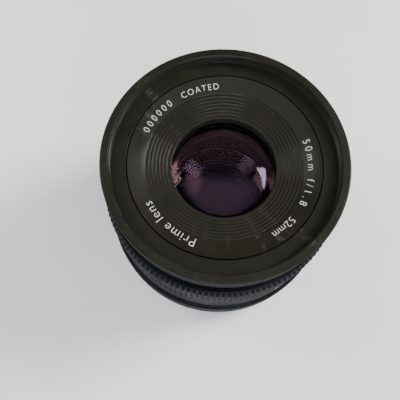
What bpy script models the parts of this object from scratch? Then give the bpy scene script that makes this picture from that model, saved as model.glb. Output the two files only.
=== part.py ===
"""Prime camera lens, 50 mm class, with a 52 mm filter thread, modelled piece by piece.

The lens stands on its bayonet: the origin is at the bottom centre, +Z is the optical axis
towards the subject. Depths are measured back from the front rim, in millimetres.
Three things move: the focus ring turns and drives the optical block forwards, and the
aperture ring turns a cam ring that swings twelve iris blades.
"""
import math

import bmesh
import bpy
from mathutils import Matrix

MM = 0.001
MERGE = 1e-6                    # metres, well under any real feature

GAP = 0.3                       # clearance between neighbouring pieces
OVERCUT = 1.0                   # how far a cutter runs past the piece it cuts
CEMENT_GAP = 0.05               # cement film between the two doublet lenses

# ---- motion ------------------------------------------------------------------------
FOCUS_TRAVEL = 6.35             # forward travel of the optical block
FOCUS_THROW = 150.0             # degrees, infinity to the nearest distance
APERTURE_THROW = 60.0           # degrees, wide open to fully closed
BLADE_SWING = 36.8              # degrees, wide open to fully closed
BLADE_COUNT = 12

# ---- lens elements: everything else is built around them ----------------------------
FRONT_OPENING_R = 12.3          # opening of the name ring over the front lens
LENS_SEAT = 1.5                 # front lens beyond the opening
LENS_1_R = FRONT_OPENING_R + LENS_SEAT
LENS_2_R = LENS_1_R - 1.2
LENS_3_R = LENS_1_R - 2.2
LENS_4_R = LENS_1_R - 2.6
LENS_6_R = LENS_1_R - 2.2
LENS_2_RIM = 0.6                # flat rim around the second lens's front face
HOLLOW_RIM = 2.2                # flat rim around the deep faces beside the iris
HOLLOW_R = LENS_3_R - HOLLOW_RIM

# radii of curvature as multiples of the element's radius, front and rear face
CURVE_1 = (2.32 * LENS_1_R, 8.0 * LENS_1_R)
CURVE_2 = (1.67 * LENS_2_R, 6.35 * LENS_2_R)
CURVE_3 = 6.9 * LENS_3_R
HOLLOW_CURVE = 1.54 * HOLLOW_R
CURVE_5 = -2.14 * LENS_4_R
CURVE_6 = (5.2 * LENS_6_R, -3.6 * LENS_6_R)
EDGE_1 = 1.35                   # thickness of each element at its edge
EDGE_2 = 0.45
EDGE_3 = 3.8
LENS_4_T = 1.2                  # thickness of the hollow element on the axis
EDGE_5 = 1.25
EDGE_6 = 0.65
AIR_12 = 0.2                    # air between neighbouring elements, on the axis
AIR_23 = 0.4
AIR_56 = 0.4


def sag(radius, curvature_r):
    """How far a face lies behind its vertex at a radius; negative where it curls forwards."""
    if curvature_r is None:
        return 0.0
    size = abs(curvature_r)
    fall = size - math.sqrt(size * size - radius * radius)
    return math.copysign(fall, curvature_r)


# depths behind the front rim, in millimetres, from the rim back through the lenses
LIP_H = 1.5                     # smooth front lip
RIM_CHAMFER = 0.4
FLOOR_D = 2.85                  # floor of the filter recess
LEDGE_D = 4.2                   # ledge under the name ring
FLOOR_END_D = 4.9
COLLAR_END_D = 6.5
STEP_D = 8.3                    # step in the block where the front cell's flange seats
LENS_1_D = 6.2
LENS_1_REAR_D = LENS_1_D + EDGE_1 + sag(LENS_1_R, CURVE_1[0]) - sag(LENS_1_R, CURVE_1[1])
LENS_2_D = LENS_1_REAR_D + AIR_12
LENS_2_EDGE_D = LENS_2_D + sag(LENS_2_R - LENS_2_RIM, CURVE_2[0])
LENS_2_REAR_D = LENS_2_EDGE_D + EDGE_2 - sag(LENS_2_R, CURVE_2[1])
LENS_3_D = LENS_2_REAR_D + AIR_23
FRONT_GROUP_END = LENS_3_D + sag(LENS_3_R, CURVE_3) + EDGE_3
LENS_3_REAR_D = FRONT_GROUP_END - sag(HOLLOW_R, HOLLOW_CURVE)

# ---- iris: follows the front group ---------------------------------------------------
PUPIL_R = 11.2                  # inner edge of the open blades
BLADE_W = 5.3
BLADE_T = 0.05
BLADE_SPAN = 150.0              # degrees of arc covered by one blade
BLADE_RISE = 3.6                # each blade climbs, so that the overlap can be cyclic
PIN_INSET = 1.3
PIVOT_PIN_R = 0.6
DRIVE_PIN_R = 0.5
PIN_END_ANGLE = 4.0             # degrees from a blade's end to its pin
CAM_T = 0.8
PIVOT_R = PUPIL_R + BLADE_W - PIN_INSET
SWEEP_MARGIN = 1.0
CHAMBER_WALL = 0.7
CAM_TUBE_T = 0.8
CELL_WALL = 2.2
IRIS_FLOOR_T = 0.9
CAM_D = FRONT_GROUP_END + GAP + 0.15
BLADE_TOP_D = CAM_D + CAM_T + GAP
BLADE_LOW_D = BLADE_TOP_D + BLADE_RISE
IRIS_FLOOR_D = BLADE_LOW_D + BLADE_T + GAP


def blade_sweep_r():
    """Largest radius that a blade's outer corner reaches, at the drive end, fully closed."""
    swing = math.radians(BLADE_SWING)
    end = math.radians(BLADE_SPAN - PIN_END_ANGLE)
    outer = PUPIL_R + BLADE_W
    arm_x = outer * math.cos(end) - PIVOT_R
    arm_y = outer * math.sin(end)
    x = PIVOT_R + arm_x * math.cos(swing) - arm_y * math.sin(swing)
    y = arm_x * math.sin(swing) + arm_y * math.cos(swing)
    return math.hypot(x, y)


CHAMBER_R = blade_sweep_r() + SWEEP_MARGIN
CELL_R = LENS_1_R + GAP + CELL_WALL
CAM_TUBE_BORE_R = max(CHAMBER_R + CHAMBER_WALL + GAP, CELL_R + GAP)
CAM_R = CAM_TUBE_BORE_R + CAM_TUBE_T
BLOCK_BORE_R = CAM_R + GAP

# ---- rear group: follows the iris ------------------------------------------------------
WEB_D = IRIS_FLOOR_D + IRIS_FLOOR_T + GAP
WEB_T = 1.5
WEB_END_D = WEB_D + WEB_T
LENS_4_RIM_D = WEB_D + 0.2
LENS_4_D = LENS_4_RIM_D + sag(HOLLOW_R, HOLLOW_CURVE)
LENS_4_REAR_D = LENS_4_D + LENS_4_T
LENS_5_D = LENS_4_REAR_D + CEMENT_GAP
LENS_5_REAR_D = LENS_5_D + EDGE_5 - sag(LENS_4_R, CURVE_5)
LENS_6_D = LENS_5_REAR_D + AIR_56
LENS_6_REAR_D = LENS_6_D + EDGE_6 + sag(LENS_6_R, CURVE_6[0]) - sag(LENS_6_R, CURVE_6[1])
REAR_CELL_END_D = LENS_6_REAR_D + 0.6
REAR_CELL_WALL = 3.1
REAR_CELL_R = LENS_6_R + GAP + REAR_CELL_WALL

# ---- outer rings, radii: each follows the one inside it --------------------------------
SEAT_W = 2.46                   # seat of the front cell's flange
FLOOR_W = 3.43                  # floor between the name ring and the filter thread
THREAD_WALL = 0.9
RIM_LIP = 2.1                   # lip proud of the filter thread
KNURL_SET_BACK = 0.1
FRONT_WALL = 0.73               # block's wall around the filter ring's collar
APERTURE_WALL = 3.3
SHOULDER_SET_BACK = 0.4
HELICOID_STEP = 0.6             # guide shoulder to helicoid bore
HELICOID_WALL = 1.6
FOCUS_WALL = 1.6                # focus ring over the helicoid, at the smooth band
FLUTE_DEPTH = 0.45
FLUTE_COUNT = 132
REAR_WALL = 1.1
REAR_STEP = 0.9                 # rear barrel proud of the focus ring
CHAMFER = 0.3
REAR_CHAMFER = 0.8

NAME_R = BLOCK_BORE_R + SEAT_W
COLLAR_R = NAME_R - GAP
FILTER_THREAD_R = NAME_R + GAP + FLOOR_W    # 26 mm, for a 52 mm filter
THREAD_WALL_R = FILTER_THREAD_R + THREAD_WALL
RIM_R = FILTER_THREAD_R + RIM_LIP
KNURL_R = RIM_R - KNURL_SET_BACK
BARREL_FRONT_R = COLLAR_R + GAP + FRONT_WALL
WAIST_R = BARREL_FRONT_R + GAP + APERTURE_WALL
SHOULDER_R = WAIST_R - SHOULDER_SET_BACK
FOCUS_BORE_R = SHOULDER_R + GAP
HELICOID_BORE_R = SHOULDER_R - HELICOID_STEP
HELICOID_R = HELICOID_BORE_R + HELICOID_WALL
FOCUS_BAND_R = HELICOID_R + GAP + FOCUS_WALL
FOCUS_KNURL_R = FOCUS_BAND_R + 0.1
REAR_R = FOCUS_KNURL_R + REAR_STEP
REAR_BORE_R = REAR_R - REAR_WALL - 0.2
FLANGE_R = REAR_BORE_R - 0.5
CAPTURE_R = HELICOID_R + GAP

# ---- outer rings, depths: the mount follows the rear group ------------------------------
KNURL_H = 5.0
APERTURE_RING_H = 10.9
REAR_BARREL_H = 7.9
BAYONET_H = 4.5
FOCUS_CHAMFER_H = 1.0
FLUTE_H = 10.0
BAFFLE_T = 0.8
BAFFLE_SPACE = 1.07             # air between the rear cell and the baffle
MOUNT_T = 2.0
REAR_FLOOR_T = 1.6
APERTURE_D0 = LIP_H + GAP
APERTURE_D1 = APERTURE_D0 + APERTURE_RING_H
FOCUS_D0 = APERTURE_D1 + GAP
RECESS_D = REAR_CELL_END_D + BAFFLE_SPACE + BAFFLE_T
FLANGE_D = RECESS_D + GAP + MOUNT_T
REAR_D0 = FLANGE_D - REAR_BARREL_H
FOCUS_D1 = REAR_D0 - GAP
TOTAL_H = FLANGE_D + BAYONET_H

# ---- name ring ---------------------------------------------------------------------------
NAME_DROP = 2.75                # the dished face falls this far to the opening
NAME_T = 1.0

STEPS = 36                      # facets of a turned outer piece
INNER_STEPS = 20                # facets of a piece inside

# ---- colours: base colour, roughness, metallic --------------------------------------
FINISHES = {
    "black_anodised": ((0.016, 0.015, 0.013), 0.42, 0.75),
    "matt_black": ((0.010, 0.010, 0.010), 0.80, 0.10),
    "chromed_brass": ((0.62, 0.60, 0.56), 0.28, 1.00),
    "brass": ((0.56, 0.40, 0.17), 0.38, 1.00),
    "steel": ((0.42, 0.42, 0.43), 0.32, 1.00),
    "blade_steel": ((0.030, 0.030, 0.032), 0.45, 0.85),
    "coated_glass": ((0.10, 0.06, 0.13), 0.03, 0.00),
    "red_enamel": ((0.55, 0.02, 0.02), 0.35, 0.00),
}


def clear_objects():
    """Empty the file of objects, so the model starts from nothing."""
    for obj in list(bpy.data.objects):
        bpy.data.objects.remove(obj, do_unlink=True)


def new_collection(name):
    collection = bpy.data.collections.new(name)
    bpy.context.scene.collection.children.link(collection)
    return collection


def finish_material(name):
    """One Principled material for each finish, made once and shared."""
    material = bpy.data.materials.get(name)
    if material:
        return material
    colour, roughness, metallic = FINISHES[name]
    material = bpy.data.materials.new(name)
    material.use_nodes = True
    shader = material.node_tree.nodes["Principled BSDF"]
    shader.inputs["Base Color"].default_value = (*colour, 1.0)
    shader.inputs["Roughness"].default_value = roughness
    shader.inputs["Metallic"].default_value = metallic
    return material


clear_objects()
PARTS = new_collection("prime_camera_lens")
CUTTERS = new_collection("cutters")


def height(depth):
    """Height above the table, in metres, of a depth behind the front rim in millimetres."""
    return (TOTAL_H - depth) * MM


def add_piece(name, mesh, finish):
    obj = bpy.data.objects.new(name, mesh)
    PARTS.objects.link(obj)
    mesh.materials.append(finish_material(finish))
    return obj


def add_cutter(name, mesh):
    obj = bpy.data.objects.new(name, mesh)
    CUTTERS.objects.link(obj)
    obj.hide_render = True
    obj.display_type = "WIRE"
    return obj


def profile_mesh(name, profile, closed):
    """Edges of a half section: (radius, depth) points, outer side first, front to back."""
    points = [(radius * MM, 0.0, height(depth)) for radius, depth in profile]
    edges = [(i, i + 1) for i in range(len(points) - 1)]
    if closed:
        edges.append((len(points) - 1, 0))
    mesh = bpy.data.meshes.new(name)
    mesh.from_pydata(points, edges, [])
    return mesh


def spin_modifier(obj, steps):
    screw = obj.modifiers.new("turn", "SCREW")
    screw.angle = math.tau
    screw.steps = steps
    screw.render_steps = steps
    screw.use_merge_vertices = True
    screw.merge_threshold = MERGE


def turned(name, profile, finish, steps=INNER_STEPS, solid=False):
    """A piece turned on the optical axis; a solid one starts and ends on the axis."""
    obj = add_piece(name, profile_mesh(name, profile, not solid), finish)
    spin_modifier(obj, steps)
    return obj


def outline_mesh(name, outline, depth_0, depth_1):
    """A flat plate from an outline of (x, y) points, between two depths."""
    curve = bpy.data.curves.new(name, "CURVE")
    curve.dimensions = "2D"
    curve.fill_mode = "BOTH"
    curve.extrude = (depth_1 - depth_0) / 2 * MM
    spline = curve.splines.new("POLY")
    spline.points.add(len(outline) - 1)
    for point, (x, y) in zip(spline.points, outline):
        point.co = (x * MM, y * MM, 0.0, 1.0)
    spline.use_cyclic_u = True
    temporary = bpy.data.objects.new(name, curve)
    bpy.context.scene.collection.objects.link(temporary)
    temporary.location.z = height((depth_0 + depth_1) / 2)
    bpy.context.view_layer.update()
    evaluated = temporary.evaluated_get(bpy.context.evaluated_depsgraph_get())
    mesh = bpy.data.meshes.new_from_object(evaluated)
    mesh.transform(temporary.matrix_world)
    bpy.data.objects.remove(temporary, do_unlink=True)
    bm = bmesh.new()
    bm.from_mesh(mesh)
    bmesh.ops.remove_doubles(bm, verts=bm.verts, dist=MERGE)
    bmesh.ops.recalc_face_normals(bm, faces=bm.faces)
    bm.to_mesh(mesh)
    bm.free()
    return mesh


def polar(radius, degrees):
    angle = math.radians(degrees)
    return (radius * math.cos(angle), radius * math.sin(angle))


def arc_outline(radius_in, radius_out, start, end, segments):
    """Outline of a sector of a ring, counter-clockwise, angles in degrees."""
    step = (end - start) / segments
    outer = [polar(radius_out, start + step * i) for i in range(segments + 1)]
    inner = [polar(radius_in, end - step * i) for i in range(segments + 1)]
    return outer + inner


def rod_mesh(name, radius, length, sides=8):
    """A cylinder along +Z, from z = 0 to its length."""
    mesh = bpy.data.meshes.new(name)
    bm = bmesh.new()
    bmesh.ops.create_cone(bm, cap_ends=True, segments=sides, radius1=radius * MM,
                          radius2=radius * MM, depth=length * MM)
    bmesh.ops.translate(bm, verts=bm.verts, vec=(0.0, 0.0, length * MM / 2))
    bm.to_mesh(mesh)
    bm.free()
    return mesh


def place_radial(obj, radius, degrees, depth):
    """Point an object's +Z outwards at a radius, an angle and a depth."""
    x, y = polar(radius, degrees)
    obj.location = (x * MM, y * MM, height(depth))
    obj.rotation_euler = (0.0, math.radians(90), math.radians(degrees))


def boolean(obj, tool, operation="DIFFERENCE"):
    modifier = obj.modifiers.new(tool.name, "BOOLEAN")
    modifier.operation = operation
    modifier.object = tool


def radial_hole(obj, name, radius, degrees, depth, bore_from, bore_to, sides=8):
    cutter = add_cutter(name, rod_mesh(name, radius, bore_to - bore_from, sides))
    place_radial(cutter, bore_from, degrees, depth)
    boolean(obj, cutter)


def slot_cut(obj, name, outline, depth_0, depth_1):
    boolean(obj, add_cutter(name, outline_mesh(name, outline, depth_0, depth_1)))


# ---- fasteners -----------------------------------------------------------------------
FASTENER_SIDES = 8


def fastener_mesh(name, head_r, head_h, shank_r, length, extra=0.0, above=0.0):
    """A headed screw along -Z with its head's top at z = 0, grown by a clearance."""
    profile = [
        (0.0, above),
        (head_r + extra, above),
        (head_r + extra, -head_h - extra),
        (shank_r + extra, -head_h - extra),
        (shank_r + extra, -length - extra),
        (0.0, -length - extra),
    ]
    bm = bmesh.new()
    verts = [bm.verts.new((radius * MM, 0.0, z * MM)) for radius, z in profile]
    edges = [bm.edges.new(pair) for pair in zip(verts, verts[1:])]
    bmesh.ops.spin(bm, geom=verts + edges, cent=(0.0, 0.0, 0.0), axis=(0.0, 0.0, 1.0),
                   angle=math.tau, steps=FASTENER_SIDES, use_merge=True)
    bmesh.ops.remove_doubles(bm, verts=bm.verts, dist=MERGE)
    bmesh.ops.recalc_face_normals(bm, faces=bm.faces)
    mesh = bpy.data.meshes.new(name)
    bm.to_mesh(mesh)
    bm.free()
    return mesh


# ---- lens elements -----------------------------------------------------------------
ARC_POINTS = 4                  # steps along each curved face, axis to edge


def lens(name, edge_r, front, rear):
    """An element from its edge and two faces, each (vertex depth, curvature, clear radius)."""
    profile = []
    for depth, curvature, clear_r in (front, rear):
        face = []
        for i in range(ARC_POINTS + 1):
            radius = clear_r * i / ARC_POINTS
            face.append((radius, depth + sag(radius, curvature)))
        if clear_r < edge_r:
            face.append((edge_r, face[-1][1]))
        profile += face if not profile else face[::-1]
    return turned(name, profile, "coated_glass", solid=True)


def make_lenses():
    lens("lens_1_front", LENS_1_R, (LENS_1_D, CURVE_1[0], LENS_1_R),
         (LENS_1_REAR_D, CURVE_1[1], LENS_1_R))
    lens("lens_2", LENS_2_R, (LENS_2_D, CURVE_2[0], LENS_2_R - LENS_2_RIM),
         (LENS_2_REAR_D, CURVE_2[1], LENS_2_R))
    lens("lens_3", LENS_3_R, (LENS_3_D, CURVE_3, LENS_3_R),
         (LENS_3_REAR_D, HOLLOW_CURVE, HOLLOW_R))
    lens("lens_4", LENS_4_R, (LENS_4_D, -HOLLOW_CURVE, HOLLOW_R),
         (LENS_4_REAR_D, None, LENS_4_R))
    lens("lens_5", LENS_4_R, (LENS_5_D, None, LENS_4_R),
         (LENS_5_REAR_D, CURVE_5, LENS_4_R))
    lens("lens_6_rear", LENS_6_R, (LENS_6_D, CURVE_6[0], LENS_6_R),
         (LENS_6_REAR_D, CURVE_6[1], LENS_6_R))


# ---- front of the optical block ----------------------------------------------------
COLLAR_T = 1.0
CELL_FLANGE_D = COLLAR_END_D + GAP
NAME_COLLAR_T = 1.0
RETAINER_W = 1.2
REAR_RETAINER_W = 1.0
SPACER_W = 0.45
PLAY = 0.1                      # small clearance where pieces nearly touch


def name_face_d(radius):
    """Depth of the name ring's dished face at a radius."""
    share = (NAME_R - radius) / (NAME_R - FRONT_OPENING_R)
    return FLOOR_D + NAME_DROP * share


def make_filter_ring():
    """The filter thread, its lip, the floor around the name ring and a screw-in collar."""
    profile = [
        (RIM_R - CHAMFER, 0.0),
        (RIM_R, CHAMFER),
        (RIM_R, LIP_H),
        (THREAD_WALL_R, LIP_H),
        (THREAD_WALL_R, FLOOR_END_D),
        (COLLAR_R, FLOOR_END_D),
        (COLLAR_R, COLLAR_END_D),
        (COLLAR_R - COLLAR_T, COLLAR_END_D),
        (COLLAR_R - COLLAR_T, LEDGE_D),
        (NAME_R + GAP, LEDGE_D),
        (NAME_R + GAP, FLOOR_D),
        (FILTER_THREAD_R, FLOOR_D),
        (FILTER_THREAD_R, RIM_CHAMFER),
        (FILTER_THREAD_R + CHAMFER, 0.0),
    ]
    turned("filter_ring", profile, "black_anodised", STEPS)


def make_name_ring():
    """A dished ring around the front lens, screwed over the front cell by a short collar."""
    collar_in = CELL_R + GAP
    collar_out = collar_in + NAME_COLLAR_T
    profile = [
        (NAME_R, FLOOR_D),
        (NAME_R, LEDGE_D - GAP),
        (COLLAR_R - COLLAR_T - GAP, LEDGE_D - GAP),
        (collar_out, name_face_d(collar_out) + NAME_T),
        (collar_out, COLLAR_END_D),
        (collar_in, COLLAR_END_D),
        (collar_in, name_face_d(collar_in) + NAME_T),
        (FRONT_OPENING_R, name_face_d(FRONT_OPENING_R) + NAME_T),
        (FRONT_OPENING_R, name_face_d(FRONT_OPENING_R)),
    ]
    turned("name_ring", profile, "black_anodised", STEPS)


def make_front_cell():
    """The tube that holds lenses 1 to 3, seated by its flange on the block's step."""
    top = name_face_d(LENS_1_R + GAP) + NAME_T + GAP
    end = CAM_D - GAP
    step_1 = LENS_1_REAR_D + sag(LENS_1_R, CURVE_1[1]) + GAP
    step_2 = LENS_2_REAR_D + sag(LENS_2_R, CURVE_2[1]) + GAP
    flange_r = COLLAR_R
    profile = [
        (CELL_R, top),
        (CELL_R, CELL_FLANGE_D),
        (flange_r, CELL_FLANGE_D),
        (flange_r, STEP_D - GAP),
        (CELL_R, STEP_D - GAP),
        (CELL_R, end),
        (LENS_3_R + GAP, end),
        (LENS_3_R + GAP, step_2),
        (LENS_2_R + GAP, step_2),
        (LENS_2_R + GAP, step_1),
        (LENS_1_R + GAP, step_1),
        (LENS_1_R + GAP, top),
    ]
    turned("front_cell", profile, "matt_black")
    spacer_top = step_1 + PLAY
    spacer_end = LENS_2_EDGE_D - GAP
    ring("front_spacer", LENS_2_R - SPACER_W, LENS_2_R, spacer_top, spacer_end, "brass")
    retainer_end = LENS_1_D + sag(LENS_1_R - RETAINER_W, CURVE_1[0]) - GAP
    retainer_top = name_face_d(FRONT_OPENING_R) + NAME_T + GAP
    ring("lens_1_retainer", LENS_1_R - RETAINER_W, LENS_1_R, retainer_top, retainer_end,
         "matt_black")


def ring(name, radius_in, radius_out, depth_0, depth_1, finish, steps=INNER_STEPS):
    """A plain ring of rectangular section."""
    profile = [
        (radius_out, depth_0),
        (radius_out, depth_1),
        (radius_in, depth_1),
        (radius_in, depth_0),
    ]
    return turned(name, profile, finish, steps)


# ---- aperture ring, cam ring and blades ---------------------------------------------
DRIVE_ANGLE = 120.0             # degrees, where the aperture ring's screw stands
DRIVE_D = 10.8
DRIVE_HEAD = (1.3, 1.0)         # radius, height
DRIVE_SHANK_R = 0.7
DRIVE_HEAD_R = WAIST_R - PLAY   # its head lies just under the waist's surface
SLOT_SIDE = 0.3
CAM_TUBE_D = STEP_D + GAP + 2 * PLAY
CAM_PLATE_RIM = 1.4             # open blades' inner edge to the cam plate's bore
CAM_PLATE_BORE_R = PUPIL_R + CAM_PLATE_RIM
CAM_SLOT_PLAY = 0.15
CAM_SLOT_POINTS = 6
CAM_SLOT_END_POINTS = 2
RELATIVE_DRIVE = BLADE_SPAN - 2 * PIN_END_ANGLE


def make_aperture_ring():
    """Knurled band behind the lip, then a narrower waist for the stop numbers."""
    under_floor = FLOOR_END_D + GAP
    knurl_end = APERTURE_D0 + KNURL_H
    profile = [
        (KNURL_R - CHAMFER, APERTURE_D0),
        (KNURL_R, APERTURE_D0 + CHAMFER),
        (KNURL_R, knurl_end - CHAMFER),
        (WAIST_R, knurl_end + CHAMFER),
        (WAIST_R, APERTURE_D1 - CHAMFER),
        (WAIST_R - CHAMFER, APERTURE_D1),
        (BARREL_FRONT_R + GAP, APERTURE_D1),
        (BARREL_FRONT_R + GAP, under_floor),
        (THREAD_WALL_R + GAP, under_floor),
        (THREAD_WALL_R + GAP, APERTURE_D0),
    ]
    obj = turned("aperture_ring", profile, "black_anodised", STEPS)
    cutter = add_cutter("drive_screw_hole", drive_screw_mesh("drive_screw_hole", GAP, OVERCUT))
    place_radial(cutter, DRIVE_HEAD_R, DRIVE_ANGLE, DRIVE_D)
    boolean(obj, cutter)


def drive_screw_mesh(name, extra=0.0, above=0.0):
    length = DRIVE_HEAD_R - CAM_TUBE_BORE_R - PLAY
    return fastener_mesh(name, *DRIVE_HEAD, DRIVE_SHANK_R, length, extra, above)


def make_drive_screw():
    screw = add_piece("aperture_drive_screw", drive_screw_mesh("aperture_drive_screw"), "steel")
    place_radial(screw, DRIVE_HEAD_R, DRIVE_ANGLE, DRIVE_D)


def drive_pin_locus(share):
    """Radius and angle of a drive pin in the cam ring's own frame, at a share of closing."""
    swing = math.radians(BLADE_SWING) * share
    start_x, start_y = polar(PIVOT_R, RELATIVE_DRIVE)
    arm_x = start_x - PIVOT_R
    x = PIVOT_R + arm_x * math.cos(swing) - start_y * math.sin(swing)
    y = arm_x * math.sin(swing) + start_y * math.cos(swing)
    angle = math.degrees(math.atan2(y, x)) % 360.0
    return math.hypot(x, y), angle - APERTURE_THROW * share


def cam_slot_outline(turn):
    """Both sides of the pin's path, and a round end at each end of it."""
    path = []
    for i in range(CAM_SLOT_POINTS):
        radius, angle = drive_pin_locus(i / (CAM_SLOT_POINTS - 1))
        path.append(polar(radius, angle + turn))
    half = DRIVE_PIN_R + CAM_SLOT_PLAY
    headings = []
    for i in range(CAM_SLOT_POINTS):
        before = path[max(i - 1, 0)]
        after = path[min(i + 1, CAM_SLOT_POINTS - 1)]
        headings.append(math.atan2(after[1] - before[1], after[0] - before[0]))

    def offset(index, side):
        angle = headings[index] + side
        x, y = path[index]
        return (x + half * math.cos(angle), y + half * math.sin(angle))

    quarter = math.pi / 2
    outline = [offset(i, -quarter) for i in range(CAM_SLOT_POINTS)]
    for i in range(1, CAM_SLOT_END_POINTS + 1):
        outline.append(offset(-1, -quarter + math.pi * i / (CAM_SLOT_END_POINTS + 1)))
    outline += [offset(i, quarter) for i in range(CAM_SLOT_POINTS - 1, -1, -1)]
    for i in range(1, CAM_SLOT_END_POINTS + 1):
        outline.append(offset(0, quarter + math.pi * i / (CAM_SLOT_END_POINTS + 1)))
    return outline


def make_cam_ring():
    """A tube that reaches up to the drive screw, on a plate with a curved slot per blade."""
    profile = [
        (CAM_R, CAM_TUBE_D),
        (CAM_R, CAM_D + CAM_T),
        (CAM_PLATE_BORE_R, CAM_D + CAM_T),
        (CAM_PLATE_BORE_R, CAM_D),
        (CAM_TUBE_BORE_R, CAM_D),
        (CAM_TUBE_BORE_R, CAM_TUBE_D),
    ]
    obj = turned("iris_cam_ring", profile, "brass", INNER_STEPS)
    radial_hole(obj, "cam_screw_hole", DRIVE_SHANK_R + GAP, DRIVE_ANGLE, DRIVE_D,
                CAM_TUBE_BORE_R - OVERCUT, CAM_R + OVERCUT)
    for i in range(BLADE_COUNT):
        outline = cam_slot_outline(360.0 / BLADE_COUNT * i)
        slot_cut(obj, f"cam_slot_{i + 1:02d}", outline, CAM_D - OVERCUT,
                 CAM_D + CAM_T + OVERCUT)


FLOOR_LIP = 0.2                 # floor inside the open blades' edge
PIVOT_PLAY = 0.2
HOLE_TURN = math.radians(10.0)  # keeps a hole's corners off the facets' own edges


def make_iris_housing():
    """Floor with a pivot hole per blade, and a low wall that keeps the cam plate clear."""
    floor_end = IRIS_FLOOR_D + IRIS_FLOOR_T
    floor_bore_r = PUPIL_R - FLOOR_LIP
    profile = [
        (CHAMBER_R + CHAMBER_WALL, BLADE_TOP_D),
        (CHAMBER_R + CHAMBER_WALL, IRIS_FLOOR_D),
        (CAM_R, IRIS_FLOOR_D),
        (CAM_R, floor_end),
        (floor_bore_r, floor_end),
        (floor_bore_r, IRIS_FLOOR_D),
        (CHAMBER_R, IRIS_FLOOR_D),
        (CHAMBER_R, BLADE_TOP_D),
    ]
    obj = turned("iris_housing", profile, "matt_black", INNER_STEPS)
    for i in range(BLADE_COUNT):
        x, y = polar(PIVOT_R, 360.0 / BLADE_COUNT * i)
        name = f"pivot_hole_{i + 1:02d}"
        hole = add_cutter(name, rod_mesh(name, PIVOT_PIN_R + PIVOT_PLAY,
                                          IRIS_FLOOR_T + 2 * OVERCUT, PIN_SIDES))
        hole.location = (x * MM, y * MM, height(floor_end + OVERCUT))
        hole.rotation_euler.z = HOLE_TURN
        boolean(obj, hole)


BLADE_STEPS = 14
PIN_SIDES = 6


def blade_climb(degrees_from_pivot):
    """Height of the blade's underside above its lowest point, in millimetres."""
    return BLADE_RISE * (degrees_from_pivot + PIN_END_ANGLE) / BLADE_SPAN


def blade_mesh():
    """A thin crescent that climbs along its arc, with a pin down at one end and up at the other.

    Its origin is on the pivot's axis, at the height of the blade's lowest point.
    """
    strip = bmesh.new()
    corners = [(0, 0), (BLADE_W, 0), (BLADE_W, BLADE_T), (0, BLADE_T)]
    start = math.radians(-PIN_END_ANGLE)
    verts = []
    for across, up in corners:
        radius = (PUPIL_R + across) * MM
        verts.append(strip.verts.new((radius * math.cos(start), radius * math.sin(start), up * MM)))
    loop = [strip.edges.new((verts[i], verts[(i + 1) % 4])) for i in range(4)]
    climb = BLADE_RISE * MM / BLADE_STEPS
    bmesh.ops.spin(strip, geom=verts + loop, cent=(0.0, 0.0, 0.0), axis=(0.0, 0.0, 1.0),
                   dvec=(0.0, 0.0, climb), angle=math.radians(BLADE_SPAN), steps=BLADE_STEPS)
    bmesh.ops.holes_fill(strip, edges=strip.edges, sides=4)
    bmesh.ops.triangulate(strip, faces=strip.faces)
    bmesh.ops.recalc_face_normals(strip, faces=strip.faces)
    bmesh.ops.translate(strip, verts=strip.verts, vec=(-PIVOT_R * MM, 0.0, 0.0))
    mesh = bpy.data.meshes.new("blade_strip")
    strip.to_mesh(mesh)
    strip.free()
    blade = add_cutter("blade_strip", mesh)

    pivot_top = blade_climb(0.0) + BLADE_T / 2
    pivot_len = pivot_top + BLADE_T + GAP + IRIS_FLOOR_T - PLAY
    pivot = add_cutter("blade_pivot_pin",
                       rod_mesh("blade_pivot_pin", PIVOT_PIN_R, pivot_len, PIN_SIDES))
    pivot.location = (0.0, 0.0, (pivot_top - pivot_len) * MM)
    boolean(blade, pivot, "UNION")

    drive_foot = blade_climb(RELATIVE_DRIVE) + BLADE_T / 2
    drive_len = BLADE_RISE + GAP + CAM_T - drive_foot - PLAY
    drive = add_cutter("blade_drive_pin",
                       rod_mesh("blade_drive_pin", DRIVE_PIN_R, drive_len, PIN_SIDES))
    x, y = polar(PIVOT_R, RELATIVE_DRIVE)
    drive.location = ((x - PIVOT_R) * MM, y * MM, drive_foot * MM)
    boolean(blade, drive, "UNION")

    bpy.context.view_layer.update()
    evaluated = blade.evaluated_get(bpy.context.evaluated_depsgraph_get())
    finished = bpy.data.meshes.new_from_object(evaluated)
    finished.name = "iris_blade"
    return finished


def make_blades():
    mesh = blade_mesh()
    mesh.materials.clear()
    mesh.materials.append(finish_material("blade_steel"))
    for i in range(BLADE_COUNT):
        turn = 360.0 / BLADE_COUNT * i
        obj = bpy.data.objects.new(f"iris_blade_{i + 1:02d}", mesh)
        PARTS.objects.link(obj)
        x, y = polar(PIVOT_R, turn)
        obj.location = (x * MM, y * MM, height(BLADE_LOW_D))
        obj.rotation_euler = (0.0, 0.0, math.radians(turn))


# ---- the block's barrel and the rear cell ---------------------------------------------
SHOULDER_OVERLAP = 1.15         # shoulder left in the focus ring when the block is out
SHOULDER_H = FOCUS_TRAVEL + SHOULDER_OVERLAP
SKIRT_WALL = 1.7
SKIRT_SET_BACK = 1.8            # block's skirt ends this far inside the helicoid's end
GUIDE_WALL = 1.6
KEY_W = 3.0
KEY_L = 3.0
KEY_PROUD = 1.5
KEY_ANGLES = (30.0, 210.0)
BLOCK_HELICOID_R = HELICOID_BORE_R - GAP
SKIRT_BORE_R = BLOCK_HELICOID_R - SKIRT_WALL
GUIDE_R = SKIRT_BORE_R - GAP
GUIDE_BORE_R = GUIDE_R - GUIDE_WALL
REAR_FLOOR_D = RECESS_D - REAR_FLOOR_T
HELICOID_FLANGE_T = 1.4
HELICOID_END_D = REAR_FLOOR_D - GAP
HELICOID_FLANGE_D = HELICOID_END_D - HELICOID_FLANGE_T
SKIRT_END_D = HELICOID_END_D - SKIRT_SET_BACK
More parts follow.
